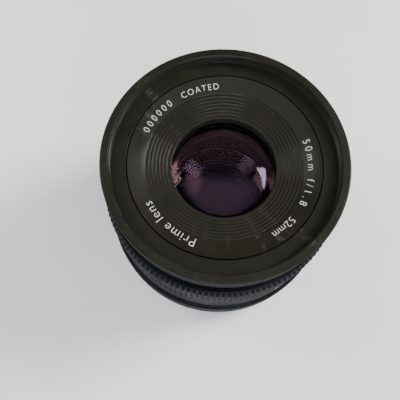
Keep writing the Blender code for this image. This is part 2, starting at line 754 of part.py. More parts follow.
SHOULDER_END_D = FOCUS_D0 + SHOULDER_H


def radial_box_outline(radius_in, radius_out, width, degrees):
    """Rectangle that runs outwards between two radii, turned to an angle."""
    angle = math.radians(degrees)
    corners = [(radius_in, -width / 2), (radius_out, -width / 2),
               (radius_out, width / 2), (radius_in, width / 2)]
    outline = []
    for along, across in corners:
        x = along * math.cos(angle) - across * math.sin(angle)
        y = along * math.sin(angle) + across * math.cos(angle)
        outline.append((x, y))
    return outline


def make_block_barrel():
    """The moving barrel: aperture ring seat, shoulder, outer helicoid, web and bore."""
    neck_r = REAR_CELL_R + GAP
    profile = [
        (BARREL_FRONT_R, FLOOR_END_D + GAP),
        (BARREL_FRONT_R, FOCUS_D0),
        (SHOULDER_R, FOCUS_D0),
        (SHOULDER_R, SHOULDER_END_D),
        (BLOCK_HELICOID_R, SHOULDER_END_D),
        (BLOCK_HELICOID_R, SKIRT_END_D),
        (SKIRT_BORE_R, SKIRT_END_D),
        (SKIRT_BORE_R, WEB_END_D),
        (neck_r, WEB_END_D),
        (neck_r, WEB_D),
        (BLOCK_BORE_R, WEB_D),
        (BLOCK_BORE_R, STEP_D),
        (COLLAR_R + GAP, STEP_D),
        (COLLAR_R + GAP, FLOOR_END_D + GAP),
    ]
    obj = turned("block_barrel", profile, "black_anodised", STEPS)
    spare = math.degrees((DRIVE_SHANK_R + SLOT_SIDE) / BLOCK_BORE_R)
    slot = arc_outline(BLOCK_BORE_R - OVERCUT, BARREL_FRONT_R + OVERCUT, DRIVE_ANGLE - spare,
                       DRIVE_ANGLE + APERTURE_THROW + spare, 8)
    half = DRIVE_SHANK_R + SLOT_SIDE
    slot_cut(obj, "drive_slot", slot, DRIVE_D - half, DRIVE_D + half)
    for i, angle in enumerate(KEY_ANGLES):
        keyway = radial_box_outline(SKIRT_BORE_R - OVERCUT, BLOCK_HELICOID_R + OVERCUT,
                                    KEY_W + 2 * GAP, angle)
        slot_cut(obj, f"keyway_{i + 1}", keyway, WEB_END_D + 2 * PLAY, SKIRT_END_D + OVERCUT)


REAR_CELL_FLANGE = (1.5, 1.2)   # how far it stands out, thickness
RETAINER_SET_BACK = 0.4         # rear retainer inside the cell's end


def make_rear_cell():
    """The tube that screws into the web and holds lenses 4 to 6."""
    flange_d = WEB_END_D + GAP
    flange_out, flange_t = REAR_CELL_FLANGE
    seat_6 = LENS_6_D + sag(LENS_6_R, CURVE_6[0]) - GAP
    profile = [
        (REAR_CELL_R, WEB_D),
        (REAR_CELL_R, flange_d),
        (REAR_CELL_R + flange_out, flange_d),
        (REAR_CELL_R + flange_out, flange_d + flange_t),
        (REAR_CELL_R, flange_d + flange_t),
        (REAR_CELL_R, REAR_CELL_END_D),
        (LENS_6_R + GAP, REAR_CELL_END_D),
        (LENS_6_R + GAP, seat_6),
        (LENS_4_R + GAP, seat_6),
        (LENS_4_R + GAP, WEB_D),
    ]
    turned("rear_cell", profile, "matt_black")
    spacer_r = LENS_4_R - SPACER_W
    spacer_top = LENS_5_REAR_D + sag(spacer_r, CURVE_5) + GAP
    spacer_end = LENS_6_D + sag(spacer_r, CURVE_6[0]) - GAP
    ring("rear_spacer", spacer_r, LENS_4_R, spacer_top, spacer_end, "brass")
    retainer_r = LENS_6_R - REAR_RETAINER_W
    retainer_top = LENS_6_REAR_D + sag(retainer_r, CURVE_6[1]) + GAP
    ring("rear_retainer", retainer_r, LENS_6_R, retainer_top, REAR_CELL_END_D - RETAINER_SET_BACK,
         "matt_black")


# ---- focus ring and its helicoid ------------------------------------------------------
SET_SCREW_R = 0.8
SET_SCREW_D = FOCUS_D1 - 2.3
SET_SCREW_ANGLES = (90.0, 210.0, 330.0)
GROOVE_H = 0.6
GROOVE_DEPTH = 0.45
STOP_ANGLE = 300.0
STOP_PIN_R = 0.6
STOP_PIN_INSET = 0.35           # pin's axis inside the helicoid flange's edge


def make_focus_ring():
    """Fluted grip, a groove, then the smooth band for the distance scale."""
    grip_end = FOCUS_D0 + FOCUS_CHAMFER_H + FLUTE_H
    groove_r = FOCUS_BAND_R - GROOVE_DEPTH
    inner_step = SHOULDER_END_D + GAP
    profile = [
        (FOCUS_KNURL_R - FOCUS_CHAMFER_H, FOCUS_D0),
        (FOCUS_KNURL_R, FOCUS_D0 + FOCUS_CHAMFER_H),
        (FOCUS_KNURL_R, grip_end),
        (groove_r, grip_end),
        (groove_r, grip_end + GROOVE_H),
        (FOCUS_BAND_R, grip_end + GROOVE_H + CHAMFER),
        (FOCUS_BAND_R, FOCUS_D1 - CHAMFER),
        (FOCUS_BAND_R - CHAMFER, FOCUS_D1),
        (HELICOID_R + GAP, FOCUS_D1),
        (HELICOID_R + GAP, inner_step),
        (FOCUS_BORE_R, inner_step),
        (FOCUS_BORE_R, FOCUS_D0),
    ]
    obj = turned("focus_ring", profile, "black_anodised", FLUTE_COUNT // 3)
    boolean(obj, flute_cutter(grip_end))
    for i, angle in enumerate(SET_SCREW_ANGLES):
        radial_hole(obj, f"set_screw_hole_{i + 1}", SET_SCREW_R + GAP, angle, SET_SCREW_D,
                    HELICOID_R - OVERCUT, FOCUS_BAND_R + OVERCUT)


def flute_cutter(grip_end):
    """A square bar on edge at the grip's surface, repeated all the way round."""
    start = FOCUS_D0 - OVERCUT
    end = grip_end + GROOVE_H / 2
    cutter = add_cutter("flutes", rod_mesh("flutes", FLUTE_DEPTH, end - start, 4))
    offset = FOCUS_KNURL_R * MM
    for vertex in cutter.data.vertices:
        vertex.co.x += offset
        vertex.co.z += height(end)
    pitch = bpy.data.objects.new("flute_pitch", None)
    CUTTERS.objects.link(pitch)
    pitch.hide_render = True
    cutter.data.transform(Matrix.Rotation(math.pi / FLUTE_COUNT, 4, "Z"))
    pitch.rotation_euler = (0.0, 0.0, math.tau / FLUTE_COUNT)
    array = cutter.modifiers.new("around", "ARRAY")
    array.count = FLUTE_COUNT
    array.use_relative_offset = False
    array.use_object_offset = True
    array.offset_object = pitch
    return cutter


def make_focus_helicoid():
    """The threaded ring inside the focus ring, held by a flange in the rear barrel."""
    profile = [
        (HELICOID_R, SHOULDER_END_D + 2 * GAP),
        (HELICOID_R, HELICOID_FLANGE_D),
        (FLANGE_R, HELICOID_FLANGE_D),
        (FLANGE_R, HELICOID_END_D),
        (HELICOID_BORE_R, HELICOID_END_D),
        (HELICOID_BORE_R, SHOULDER_END_D + 2 * GAP),
    ]
    obj = turned("focus_helicoid", profile, "brass", STEPS)
    for i, angle in enumerate(SET_SCREW_ANGLES):
        radial_hole(obj, f"helicoid_hole_{i + 1}", SET_SCREW_R + GAP, angle, SET_SCREW_D,
                    HELICOID_BORE_R + GAP, HELICOID_R + OVERCUT)
    stop_r = stop_pin_radius()
    spare = math.degrees((STOP_PIN_R + GAP) / stop_r)
    notch = arc_outline(stop_r - STOP_PIN_R - GAP, FLANGE_R + OVERCUT,
                        STOP_ANGLE - FOCUS_THROW - spare, STOP_ANGLE + spare, 16)
    slot_cut(obj, "stop_notch", notch, HELICOID_FLANGE_D - 2 * PLAY, HELICOID_END_D + OVERCUT)


def stop_pin_radius():
    return FLANGE_R - STOP_PIN_INSET


def make_set_screws():
    for i, angle in enumerate(SET_SCREW_ANGLES):
        name = f"focus_set_screw_{i + 1}"
        inner = HELICOID_BORE_R + 2 * GAP
        length = FOCUS_BAND_R - GAP - inner
        screw = add_piece(name, rod_mesh(name, SET_SCREW_R, length), "steel")
        place_radial(screw, inner, angle, SET_SCREW_D)


# ---- rear barrel, guide tube and bayonet ----------------------------------------------
BAYONET_R = 21.5
THROAT_R = 19.3
TAB_R = 22.6
TAB_START = 2.1                 # behind the mount flange
TAB_T = 1.3
TAB_ROOT = 0.8                  # tab's root inside the bayonet tube's surface
TAB_SPAN = 56.0
TAB_ANGLES = (60.0, 180.0, 300.0)
MOUNT_SCREW_ANGLES = (45.0, 135.0, 225.0, 315.0)
MOUNT_HEAD = (1.3, 0.9)
MOUNT_SHANK_R = 0.7
MOUNT_SCREW_L = 3.4
MOUNT_SCREW_OFFSET = 0.6        # outwards from the middle of the flange
HEAD_SUNK = 0.05                # screw heads under the surface
RETAINER_INSET = 0.5            # helicoid retainer behind the rear barrel's front edge
KEY_HEAD = (0.9, 0.6)
KEY_SHANK_R = 0.5
BAFFLE_BORE_R = 13.0
DOT_R = 1.1
DOT_H = 0.65
DOT_SUNK = 0.1                  # dot's face under the barrel's surface
DOT_ANGLE = 90.0
MOUNT_R = REAR_R - REAR_WALL - GAP
MOUNT_SCREW_R = (MOUNT_R + BAYONET_R) / 2 + MOUNT_SCREW_OFFSET


def mount_screw_mesh(name, extra=0.0, above=0.0):
    return fastener_mesh(name, *MOUNT_HEAD, MOUNT_SHANK_R, MOUNT_SCREW_L, extra, above)


def place_mount_screw(obj, degrees):
    """Head flush with the flange, shank pointing forwards into the rear barrel."""
    x, y = polar(MOUNT_SCREW_R, degrees)
    obj.location = (x * MM, y * MM, height(FLANGE_D - HEAD_SUNK))
    obj.rotation_euler = (math.pi, 0.0, 0.0)


def cut_mount_screw_holes(obj, label):
    for i, angle in enumerate(MOUNT_SCREW_ANGLES):
        name = f"{label}_screw_hole_{i + 1}"
        cutter = add_cutter(name, mount_screw_mesh(name, GAP, OVERCUT))
        place_mount_screw(cutter, angle)
        boolean(obj, cutter)


def make_mount_plate():
    """Flange, bayonet tube and three locking tabs, in one turned and milled piece."""
    profile = [
        (MOUNT_R, RECESS_D + GAP),
        (MOUNT_R, FLANGE_D),
        (BAYONET_R, FLANGE_D),
        (BAYONET_R, TOTAL_H),
        (THROAT_R, TOTAL_H),
        (THROAT_R, RECESS_D + GAP),
    ]
    obj = turned("mount_plate", profile, "chromed_brass", STEPS)
    tab_d = FLANGE_D + TAB_START
    for i, angle in enumerate(TAB_ANGLES):
        name = f"tab_{i + 1}"
        outline = arc_outline(BAYONET_R - TAB_ROOT, TAB_R, angle - TAB_SPAN / 2,
                              angle + TAB_SPAN / 2, 7)
        tab = add_cutter(name, outline_mesh(name, outline, tab_d, tab_d + TAB_T))
        boolean(obj, tab, "UNION")
    cut_mount_screw_holes(obj, "plate")


def make_rear_barrel():
    """The fixed outer ring behind the focus ring, with a floor that carries the rest."""
    profile = [
        (REAR_R - REAR_CHAMFER, REAR_D0),
        (REAR_R, REAR_D0 + REAR_CHAMFER),
        (REAR_R, FLANGE_D - CHAMFER),
        (REAR_R - CHAMFER, FLANGE_D),
        (REAR_R - REAR_WALL, FLANGE_D),
        (REAR_R - REAR_WALL, RECESS_D),
        (GUIDE_R + GAP, RECESS_D),
        (GUIDE_R + GAP, REAR_FLOOR_D),
        (REAR_BORE_R, REAR_FLOOR_D),
        (REAR_BORE_R, REAR_D0),
    ]
    obj = turned("rear_barrel", profile, "black_anodised", STEPS)
    cut_mount_screw_holes(obj, "barrel")
    pocket_foot = REAR_R - DOT_SUNK - DOT_H - 2 * PLAY
    radial_hole(obj, "dot_pocket", DOT_R + 2 * PLAY, DOT_ANGLE, dot_depth(), pocket_foot,
                REAR_R + OVERCUT)
    stop = add_cutter("stop_hole", rod_mesh("stop_hole", STOP_PIN_R + GAP,
                                           REAR_FLOOR_T + 2 * OVERCUT))
    place_axial(stop, stop_pin_radius(), STOP_ANGLE, RECESS_D + OVERCUT)
    boolean(obj, stop)


def dot_depth():
    return (REAR_D0 + FLANGE_D) / 2


def place_axial(obj, radius, degrees, depth):
    x, y = polar(radius, degrees)
    obj.location = (x * MM, y * MM, height(depth))


def make_fixed_fasteners():
    for i, angle in enumerate(MOUNT_SCREW_ANGLES):
        name = f"mount_screw_{i + 1}"
        place_mount_screw(add_piece(name, mount_screw_mesh(name), "steel"), angle)
    stop_l = RECESS_D - HELICOID_FLANGE_D - GAP
    stop = add_piece("focus_stop_pin", rod_mesh("focus_stop_pin", STOP_PIN_R, stop_l), "steel")
    place_axial(stop, stop_pin_radius(), STOP_ANGLE, RECESS_D)
    dot = add_piece("mount_index_dot", rod_mesh("mount_index_dot", DOT_R, DOT_H), "red_enamel")
    place_radial(dot, REAR_R - DOT_SUNK - DOT_H, DOT_ANGLE, dot_depth())


def key_screw_mesh(name, extra=0.0, above=0.0):
    length = GUIDE_WALL + KEY_PROUD
    return fastener_mesh(name, *KEY_HEAD, KEY_SHANK_R, length, extra, above)


def make_guide():
    """The fixed tube inside the block, with two keys that stop the block from turning."""
    top = WEB_END_D + GAP
    profile = [
        (GUIDE_R, top),
        (GUIDE_R, RECESS_D),
        (GUIDE_BORE_R, RECESS_D),
        (GUIDE_BORE_R, top),
    ]
    tube = turned("guide_tube", profile, "matt_black", STEPS)
    key_in = GUIDE_R + GAP
    key_out = key_in + KEY_PROUD
    key_d = top + GAP
    for i, angle in enumerate(KEY_ANGLES):
        name = f"guide_key_{i + 1}"
        outline = radial_box_outline(key_in, key_out, KEY_W, angle)
        key = add_piece(name, outline_mesh(name, outline, key_d, key_d + KEY_L), "brass")
        hole_name = f"key_hole_{i + 1}"
        cutter = add_cutter(hole_name, key_screw_mesh(hole_name, GAP, OVERCUT))
        place_radial(cutter, key_out - HEAD_SUNK, angle, key_d + KEY_L / 2)
        boolean(key, cutter)
        boolean(tube, cutter)
        screw_name = f"guide_key_screw_{i + 1}"
        screw = add_piece(screw_name, key_screw_mesh(screw_name), "steel")
        place_radial(screw, key_out - HEAD_SUNK, angle, key_d + KEY_L / 2)
    ring("light_baffle", BAFFLE_BORE_R, GUIDE_BORE_R - GAP, RECESS_D - BAFFLE_T, RECESS_D,
         "matt_black", STEPS)
    ring("helicoid_retainer", CAPTURE_R, REAR_BORE_R - GAP, REAR_D0 + RETAINER_INSET,
         HELICOID_FLANGE_D - GAP, "brass", STEPS)


def shade_round_pieces():
    """Smooth shading with crisp edges wherever two faces meet at more than 30 degrees."""
    for mesh in {obj.data for obj in PARTS.objects}:
        mesh.shade_smooth()
        mesh.set_sharp_from_angle(angle=math.radians(30))


make_lenses()
make_filter_ring()
make_name_ring()
make_front_cell()
make_aperture_ring()
make_drive_screw()
make_cam_ring()
make_iris_housing()
make_blades()
make_block_barrel()
make_rear_cell()
make_focus_ring()
make_focus_helicoid()
make_set_screws()
make_mount_plate()
make_rear_barrel()
make_fixed_fasteners()
make_guide()
shade_round_pieces()
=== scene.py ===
# %% [markdown]
# # A compact 50 mm prime lens, standing on its bayonet
#
# A manual lens is a nest of turned rings. Nearly every piece is a profile spun round the
# optical axis, then knurled, fluted, threaded or engraved. This lesson loads the working
# model as a fixed frame, and puts a finely made surface over every ring, glass and screw in
# it. A piece takes its section from the frame, so it fits its neighbours without measuring.

# %% The frame
import math

import bpy
import numpy as np
from mathutils import Matrix, Vector


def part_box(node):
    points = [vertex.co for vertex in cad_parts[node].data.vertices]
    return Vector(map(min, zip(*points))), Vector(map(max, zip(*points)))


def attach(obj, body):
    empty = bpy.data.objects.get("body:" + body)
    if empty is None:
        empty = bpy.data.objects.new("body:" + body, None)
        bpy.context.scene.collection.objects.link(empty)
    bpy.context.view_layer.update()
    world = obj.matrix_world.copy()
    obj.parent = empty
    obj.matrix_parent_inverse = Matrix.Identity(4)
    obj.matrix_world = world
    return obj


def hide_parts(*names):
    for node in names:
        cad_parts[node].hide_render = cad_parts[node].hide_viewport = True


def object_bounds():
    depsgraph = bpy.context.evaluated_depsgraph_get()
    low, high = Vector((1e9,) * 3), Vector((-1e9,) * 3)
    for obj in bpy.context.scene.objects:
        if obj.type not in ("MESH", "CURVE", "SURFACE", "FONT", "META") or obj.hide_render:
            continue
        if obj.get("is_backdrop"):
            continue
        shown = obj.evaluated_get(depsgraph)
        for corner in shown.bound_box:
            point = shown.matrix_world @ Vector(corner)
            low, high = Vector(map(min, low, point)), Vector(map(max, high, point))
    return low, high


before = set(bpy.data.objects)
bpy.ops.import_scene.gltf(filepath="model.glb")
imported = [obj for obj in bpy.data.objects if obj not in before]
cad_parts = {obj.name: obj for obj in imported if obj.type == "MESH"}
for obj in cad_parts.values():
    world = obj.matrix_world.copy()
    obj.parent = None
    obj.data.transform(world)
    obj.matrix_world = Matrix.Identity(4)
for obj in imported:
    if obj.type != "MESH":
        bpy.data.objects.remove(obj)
cad_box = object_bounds()
MM = 0.001                       # the lesson's sizes are in millimetres
TOP = cad_box[1].z / MM          # height of the front rim
print("frame:", len(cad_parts), "nodes,", round(TOP, 2), "mm tall")

# %% [markdown]
# ## From a numpy grid to a mesh
#
# A Screw modifier could spin a profile, but flutes and threads need the radius to change
# with the angle. So a ring is a grid here: one row for each point of its profile and one
# column for each angle, worked out as whole arrays. Both directions close on themselves.

# %% Mesh helpers


def new_object(name, points, faces):
    """A mesh object from points in millimetres and a list of face arrays, one per size."""
    mesh = bpy.data.meshes.new(name)
    corners = np.concatenate([f.ravel() for f in faces]).astype(np.int32)
    sizes = np.concatenate([np.full(len(f), f.shape[1], np.int32) for f in faces])
    mesh.vertices.add(len(points))
    mesh.vertices.foreach_set("co", (points * MM).astype(np.float32).ravel())
    mesh.loops.add(len(corners))
    mesh.loops.foreach_set("vertex_index", corners)
    mesh.polygons.add(len(sizes))
    mesh.polygons.foreach_set("loop_start", np.cumsum(sizes) - sizes)
    mesh.update(calc_edges=True)
    mesh.validate()
    mesh.shade_smooth()
    mesh.set_sharp_from_angle(angle=math.radians(38))
    obj = bpy.data.objects.new(name, mesh)
    bpy.context.scene.collection.objects.link(obj)
    return obj


def grid_faces(rows, columns, close_rows, close_columns):
    """Quads of a grid numbered row by row; a closed direction joins its end to its start."""
    i = np.arange(rows if close_rows else rows - 1)[:, None]
    j = np.arange(columns if close_columns else columns - 1)[None, :]
    below, beside = (i + 1) % rows, (j + 1) % columns
    quads = [i * columns + j, below * columns + j, below * columns + beside, i * columns + beside]
    return np.stack(quads, axis=-1).reshape(-1, 4)


def end_fans(rows, columns):
    """Triangles that close a grid's first and last row, each onto a point of its own: the two
    points that are numbered just after the grid's."""
    j = np.arange(columns)
    beside, last, centre = (j + 1) % columns, (rows - 1) * columns, rows * columns
    return [np.stack([np.full(columns, centre), j, beside], axis=1),
            np.stack([np.full(columns, centre + 1), last + beside, last + j], axis=1)]


def place(obj, body, nodes, material):
    """Rides a finished piece on its body, hides the nodes it stands for and dresses it."""
    obj.data.materials.clear()
    obj.data.materials.append(material)
    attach(obj, body)
    if nodes:
        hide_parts(*nodes)
    return obj


# %% [markdown]
# ## Sections
#
# The frame's rings have flat facets, but their corners lie on the true section. The half
# section is read off the mesh at angle zero: the corners there, joined by the edges between
# them. That is better than a second list of sizes, because the two can't drift apart.

# %% Read a section
ON_PLANE = 0.01                  # a corner this close to the cutting plane is in the section


def points_of(mesh):
    """A mesh's points as rows of x, y, z, in the mesh's own unit."""
    co = np.empty(len(mesh.vertices) * 3, np.float32)
    mesh.vertices.foreach_get("co", co)
    return co.reshape(-1, 3)


def node_points(node):
    """A node's points in millimetres."""
    return points_of(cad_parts[node].data) / MM


def box_mm(node):
    """Lowest and highest corner of a node, in millimetres."""
    low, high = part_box(node)
    return np.array(low) / MM, np.array(high) / MM


def section_of(node):
    """Corners (radius, height) of a turned node in order, running down its outer side."""
    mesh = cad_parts[node].data
    ends = np.empty(len(mesh.edges) * 2, np.int32)
    mesh.edges.foreach_get("vertices", ends)
    spots, index = np.unique(np.round(node_points(node), 3), axis=0, return_inverse=True)
    ends = index.ravel()[ends.reshape(-1, 2)]
    flat = (abs(spots[:, 1]) < ON_PLANE) & (spots[:, 0] > -ON_PLANE)
    ends = ends[flat[ends].all(axis=1) & (ends[:, 0] != ends[:, 1])]
    near = {int(p): set() for p in np.flatnonzero(flat)}
    for a, b in ends.tolist():
        near[a].add(b)
        near[b].add(a)
    loose = [p for p in near if len(near[p]) == 1 and spots[p, 0] > ON_PLANE]
    for p in loose:              # a flat ring's own radial edge may be missing
        level = [q for q in loose if q != p and abs(spots[q, 2] - spots[p, 2]) < ON_PLANE]
        near[p].update(sorted(level, key=lambda q: abs(spots[q, 0] - spots[p, 0]))[:1])
    ends = [p for p in near if len(near[p]) == 1]
    path = [ends[0] if ends else min(near)]
    while True:
        onward = [q for q in near[path[-1]] if q not in path]
        if not onward:
            break
        path.append(onward[0])
    corners = spots[path][:, [0, 2]].astype(float)
    if ends:                     # a solid of revolution: from the axis out and back to it
        corners = corners if corners[0, 1] > corners[-1, 1] else corners[::-1]
        outside = corners[corners[:, 0] > ON_PLANE]
        return np.concatenate([[[0.0, corners[0, 1]]], outside, [[0.0, corners[-1, 1]]]])
    r, z = corners.T
    if (r * np.roll(z, -1) - np.roll(r, -1) * z).sum() > 0:      # the area's sign: turn it round
        corners = corners[::-1]
    return np.roll(corners, -int(np.lexsort((corners[:, 0], corners[:, 1]))[-1]), axis=0)


for name in ("filter_ring", "iris_housing", "lens_3"):
    print(name, "section has", len(section_of(name)), "corners")

# %% Ease it and carry it round


def eased(corners, ease=0.12, points=5):
    """Each corner becomes a short curve: a quadratic arc between two points at a distance
    `ease` on either side of it, with one more point just beyond each end to hold the flats."""
    before = np.roll(corners, 1, axis=0) - corners
    after = np.roll(corners, -1, axis=0) - corners
    lengths = [np.linalg.norm(d, axis=1, keepdims=True) for d in (before, after)]
    cut = np.minimum(ease, 0.4 * np.minimum(*lengths))
    before, after = before / lengths[0], after / lengths[1]
    t = np.linspace(0.0, 1.0, points)[None, :, None]
    start, end = (corners + before * cut)[:, None], (corners + after * cut)[:, None]
    arc = (1 - t) ** 2 * start + 2 * t * (1 - t) * corners[:, None] + t ** 2 * end
    hold = 0.2 * cut[:, None]
    first, last = start + before[:, None] * hold, end + after[:, None] * hold
    return np.concatenate([first, arc, last], axis=1).reshape(-1, 2)


def refined(rows, longest):
    """Splits every stretch of a closed profile evenly, so that none is over `longest`."""
    ahead = np.roll(rows, -1, axis=0)
    count = np.ceil(np.linalg.norm(ahead - rows, axis=1) / longest).astype(int).clip(1)
    which = np.repeat(np.arange(len(rows)), count)
    step = np.arange(len(which)) - np.repeat(np.cumsum(count) - count, count)
    share = (step / count[which])[:, None]
    return rows[which] * (1 - share) + ahead[which] * share


def around(columns):
    """Even angles for one full turn."""
    return np.arange(columns) * math.tau / columns


def turned(name, rows, angles, shape=None):
    """A closed profile carried round the axis: x = r cos a, y = r sin a, z = height, where
    `shape(a, r, z)` may first move r and z, for instance inwards at each flute."""
    a = np.broadcast_to(angles, (len(rows), len(angles)))
    r = np.broadcast_to(rows[:, :1], a.shape)
    z = np.broadcast_to(rows[:, 1:], a.shape)
    if shape:
        r, z = shape(a, r, z)
    points = np.stack([r * np.cos(a), r * np.sin(a), z], axis=-1).reshape(-1, 3)
    return new_object(name, points, [grid_faces(len(rows), len(angles), True, True)])


print("eased filter ring section has", len(eased(section_of("filter_ring"), 0.10)), "rows")

# %% [markdown]
# ## Finishes
#
# Black anodising is a thin dyed oxide on turned aluminium. It isn't a flat black: it is
# slightly olive, it keeps the fine lathe lines of the metal under it, it wears to grey on
# corners, and it gathers dust. Each of those is one branch of nodes. All of them read Object
# coordinates in metres, so the grain is the same size on every ring.

# %% Node helpers


class Finish:
    """A Principled material and short names for the nodes that feed it."""

    def __init__(self, name, colour, roughness, metallic=0.0, **sockets):
        self.material = bpy.data.materials.new(name)
        self.material.use_nodes = True
        self.nodes = self.material.node_tree.nodes
        self.links = self.material.node_tree.links
        self.shader = self.nodes["Principled BSDF"]
        self.set("Base Color", (*colour, 1.0))
        self.set("Roughness", roughness)
        self.set("Metallic", metallic)
        for socket, value in sockets.items():
            self.set(socket.replace("_", " "), value)
        self.spot = self.node("TexCoord").outputs["Object"]

    def set(self, socket, value):
        self.shader.inputs[socket].default_value = value

    def node(self, kind, **values):
        made = self.nodes.new("ShaderNode" + kind)
        for key, value in values.items():
            setattr(made, key, value)
        return made

    def feed(self, node, **sources):
        """Sets or links a node's inputs by name or, as in_0, by number."""
        for key, source in sources.items():
            slot = node.inputs[int(key[3:]) if key.startswith("in_") else key.replace("_", " ")]
            if isinstance(source, bpy.types.NodeSocket):
                self.links.new(source, slot)
            else:
                slot.default_value = source
        return node

    def math(self, operation, a, b=0.0):
        return self.feed(self.node("Math", operation=operation), in_0=a, in_1=b).outputs[0]

    def noise(self, scale, detail=4.0, roughness=0.55):
        made = self.node("TexNoise")
        self.feed(made, Vector=self.spot, Scale=scale, Detail=detail, Roughness=roughness)
        return made.outputs["Fac"]

    def between(self, value, low, high, to_low=0.0, to_high=1.0):
        """Maps low..high onto to_low..to_high, held at both ends."""
        made = self.node("MapRange")
        self.feed(made, in_0=value, in_1=low, in_2=high, in_3=to_low, in_4=to_high)
        return made.outputs[0]

    def mix(self, share, a, b):
        made = self.node("Mix", data_type="RGBA")
        return self.feed(made, in_0=share, in_6=a, in_7=b).outputs[2]

    def bump(self, height, distance, strength=1.0, normal=None):
        made = self.feed(self.node("Bump"), Height=height, Distance=distance, Strength=strength)
        if normal:
            self.links.new(normal, made.inputs["Normal"])
        return made.outputs["Normal"]

    def link(self, source, socket):
        self.links.new(source, self.shader.inputs[socket])


def lathe_lines(finish, pitch):
    """Height of fine tool marks: a sine of radius plus height, so that the lines run round
    both a flat face and a cylinder, at the given pitch in metres."""
    parts = finish.feed(finish.node("SeparateXYZ"), Vector=finish.spot).outputs
    squares = finish.math("ADD", finish.math("MULTIPLY", parts[0], parts[0]),
                          finish.math("MULTIPLY", parts[1], parts[1]))
    along = finish.math("ADD", finish.math("SQRT", squares), parts[2])
    wave = finish.math("SINE", finish.math("MULTIPLY", along, math.tau / pitch))
    uneven = finish.between(finish.noise(900.0, 2.0), 0.3, 0.7, 0.8, 1.0)
    return finish.math("MULTIPLY", wave, uneven)


def dust(finish, scale, size, keep):
    """One where a speck lies: near the middle of a Voronoi cell, in a share of the cells."""
    cells = finish.feed(finish.node("TexVoronoi"), Vector=finish.spot, Scale=scale)
    chosen = finish.feed(finish.node("SeparateColor"), Color=cells.outputs["Color"]).outputs[0]
    near = finish.between(cells.outputs["Distance"], size * 0.6, size, 1.0, 0.0)
    return finish.math("MULTIPLY", near, finish.between(chosen, keep, keep + 0.02))


def worn_edges(finish, low=0.53, high=0.60):
    """One on outward corners, from the mesh's own curvature, broken up by noise."""
    corner = finish.between(finish.node("NewGeometry").outputs["Pointiness"], low, high)
    return finish.math("MULTIPLY", corner, finish.between(finish.noise(700.0), 0.42, 0.62))


# %% [markdown]
# ### Black finishes
#
# The front rings catch warm light on a smooth turned face. The rings for the fingers and the
# rear barrel are a darker, duller black with a cool blue tint, and that tint is painted cool
# light from the near side, so they are three mixes of one finish. Seen at a low angle, the
# pores of the oxide scatter light, so roughness grows there and a wall doesn't mirror the
# table. Inside, blackened faces have next to no gloss at all.

# %% Black anodised, matt black and flocked finishes
GREY_WEAR, PALE_DUST = (0.075, 0.075, 0.073, 1.0), (0.30, 0.29, 0.26, 1.0)


def anodised(name, shade, tint, rough, gloss, line_pitch=0.00009, line_height=0.00000012):
    """Dyed oxide on aluminium: cloudy dark colour, lathe lines, grey corners and dust."""
    f = Finish(name, shade, rough, 0.0, Specular_IOR_Level=gloss)
    cloud = f.mix(f.between(f.noise(160.0, 5.0), 0.3, 0.7), (*shade, 1.0), (*tint, 1.0))
    fine = f.between(f.noise(9000.0, 2.0), 0.35, 0.65)
    grain = f.mix(f.math("MULTIPLY", fine, 0.35), cloud, (*[c * 1.7 for c in tint], 1.0))
    worn = f.mix(f.math("MULTIPLY", worn_edges(f), 0.35), grain, GREY_WEAR)
    specks = f.math("MAXIMUM", dust(f, 330.0, 0.035, 0.80), dust(f, 900.0, 0.055, 0.93))
    f.link(f.mix(f.math("MULTIPLY", specks, 0.40), worn, PALE_DUST), "Base Color")
    smudge = f.between(f.noise(90.0, 3.0), 0.35, 0.65, rough - 0.05, rough + 0.07)
    low_angle = f.feed(f.node("LayerWeight"), Blend=0.5).outputs["Facing"]
    scatter = f.between(low_angle, 0.40, 0.75, 0.0, 0.45)
    dusty = f.math("MULTIPLY", specks, 0.3)
    f.link(f.math("ADD", smudge, f.math("ADD", scatter, dusty)), "Roughness")
    lines = f.bump(lathe_lines(f, line_pitch), line_height)
    f.link(f.bump(f.noise(14000.0, 2.0), 0.000002, 0.6, lines), "Normal")
    return f.material


def matt_black(name, shade, rough=0.72):
    """Blackened inside surfaces: nearly no gloss, a little chalky grain."""
    f = Finish(name, shade, rough, 0.0, Specular_IOR_Level=0.25)
    f.link(f.mix(f.between(f.noise(1200.0), 0.3, 0.7), (*shade, 1.0),
                 (*[c * 1.8 for c in shade], 1.0)), "Base Color")
    f.link(f.bump(f.noise(6000.0, 3.0), 0.000006), "Normal")
    return f.material


BLACK = anodised("black_anodised", (0.0085, 0.0080, 0.0060), (0.0130, 0.0120, 0.0086),
                 0.28, 0.10)
BLACK_TURNED = anodised("black_anodised_turned", (0.0090, 0.0084, 0.0064),
                        (0.0140, 0.0128, 0.0092), 0.18, 0.13)
# Painted cool light: the blue tint of this black stands in for the cool near-side light on the grip
# rings and the rear barrel.
BLACK_GRIP_PAINTED_COOL = anodised("black_anodised_grip_painted_cool", (0.0040, 0.0044, 0.0052),
                      (0.0064, 0.0070, 0.0084), 0.22, 0.10)
MATT = matt_black("matt_black", (0.004, 0.004, 0.004))
FLOCK = matt_black("flocked_black", (0.003, 0.003, 0.003), 0.95)
print("blacks:", ", ".join(m.name for m in (BLACK, BLACK_TURNED, BLACK_GRIP_PAINTED_COOL, MATT, FLOCK)))

# %% [markdown]
# ### Bare metal and paint
#
# The bayonet is chromed brass, the screws are steel and the helicoid is bare brass. They
# differ in colour and in the pitch of their tool marks, so one function makes them all. The
# marks are filled with enamel, which is never quite even in an engraving.

# %% Bright metals


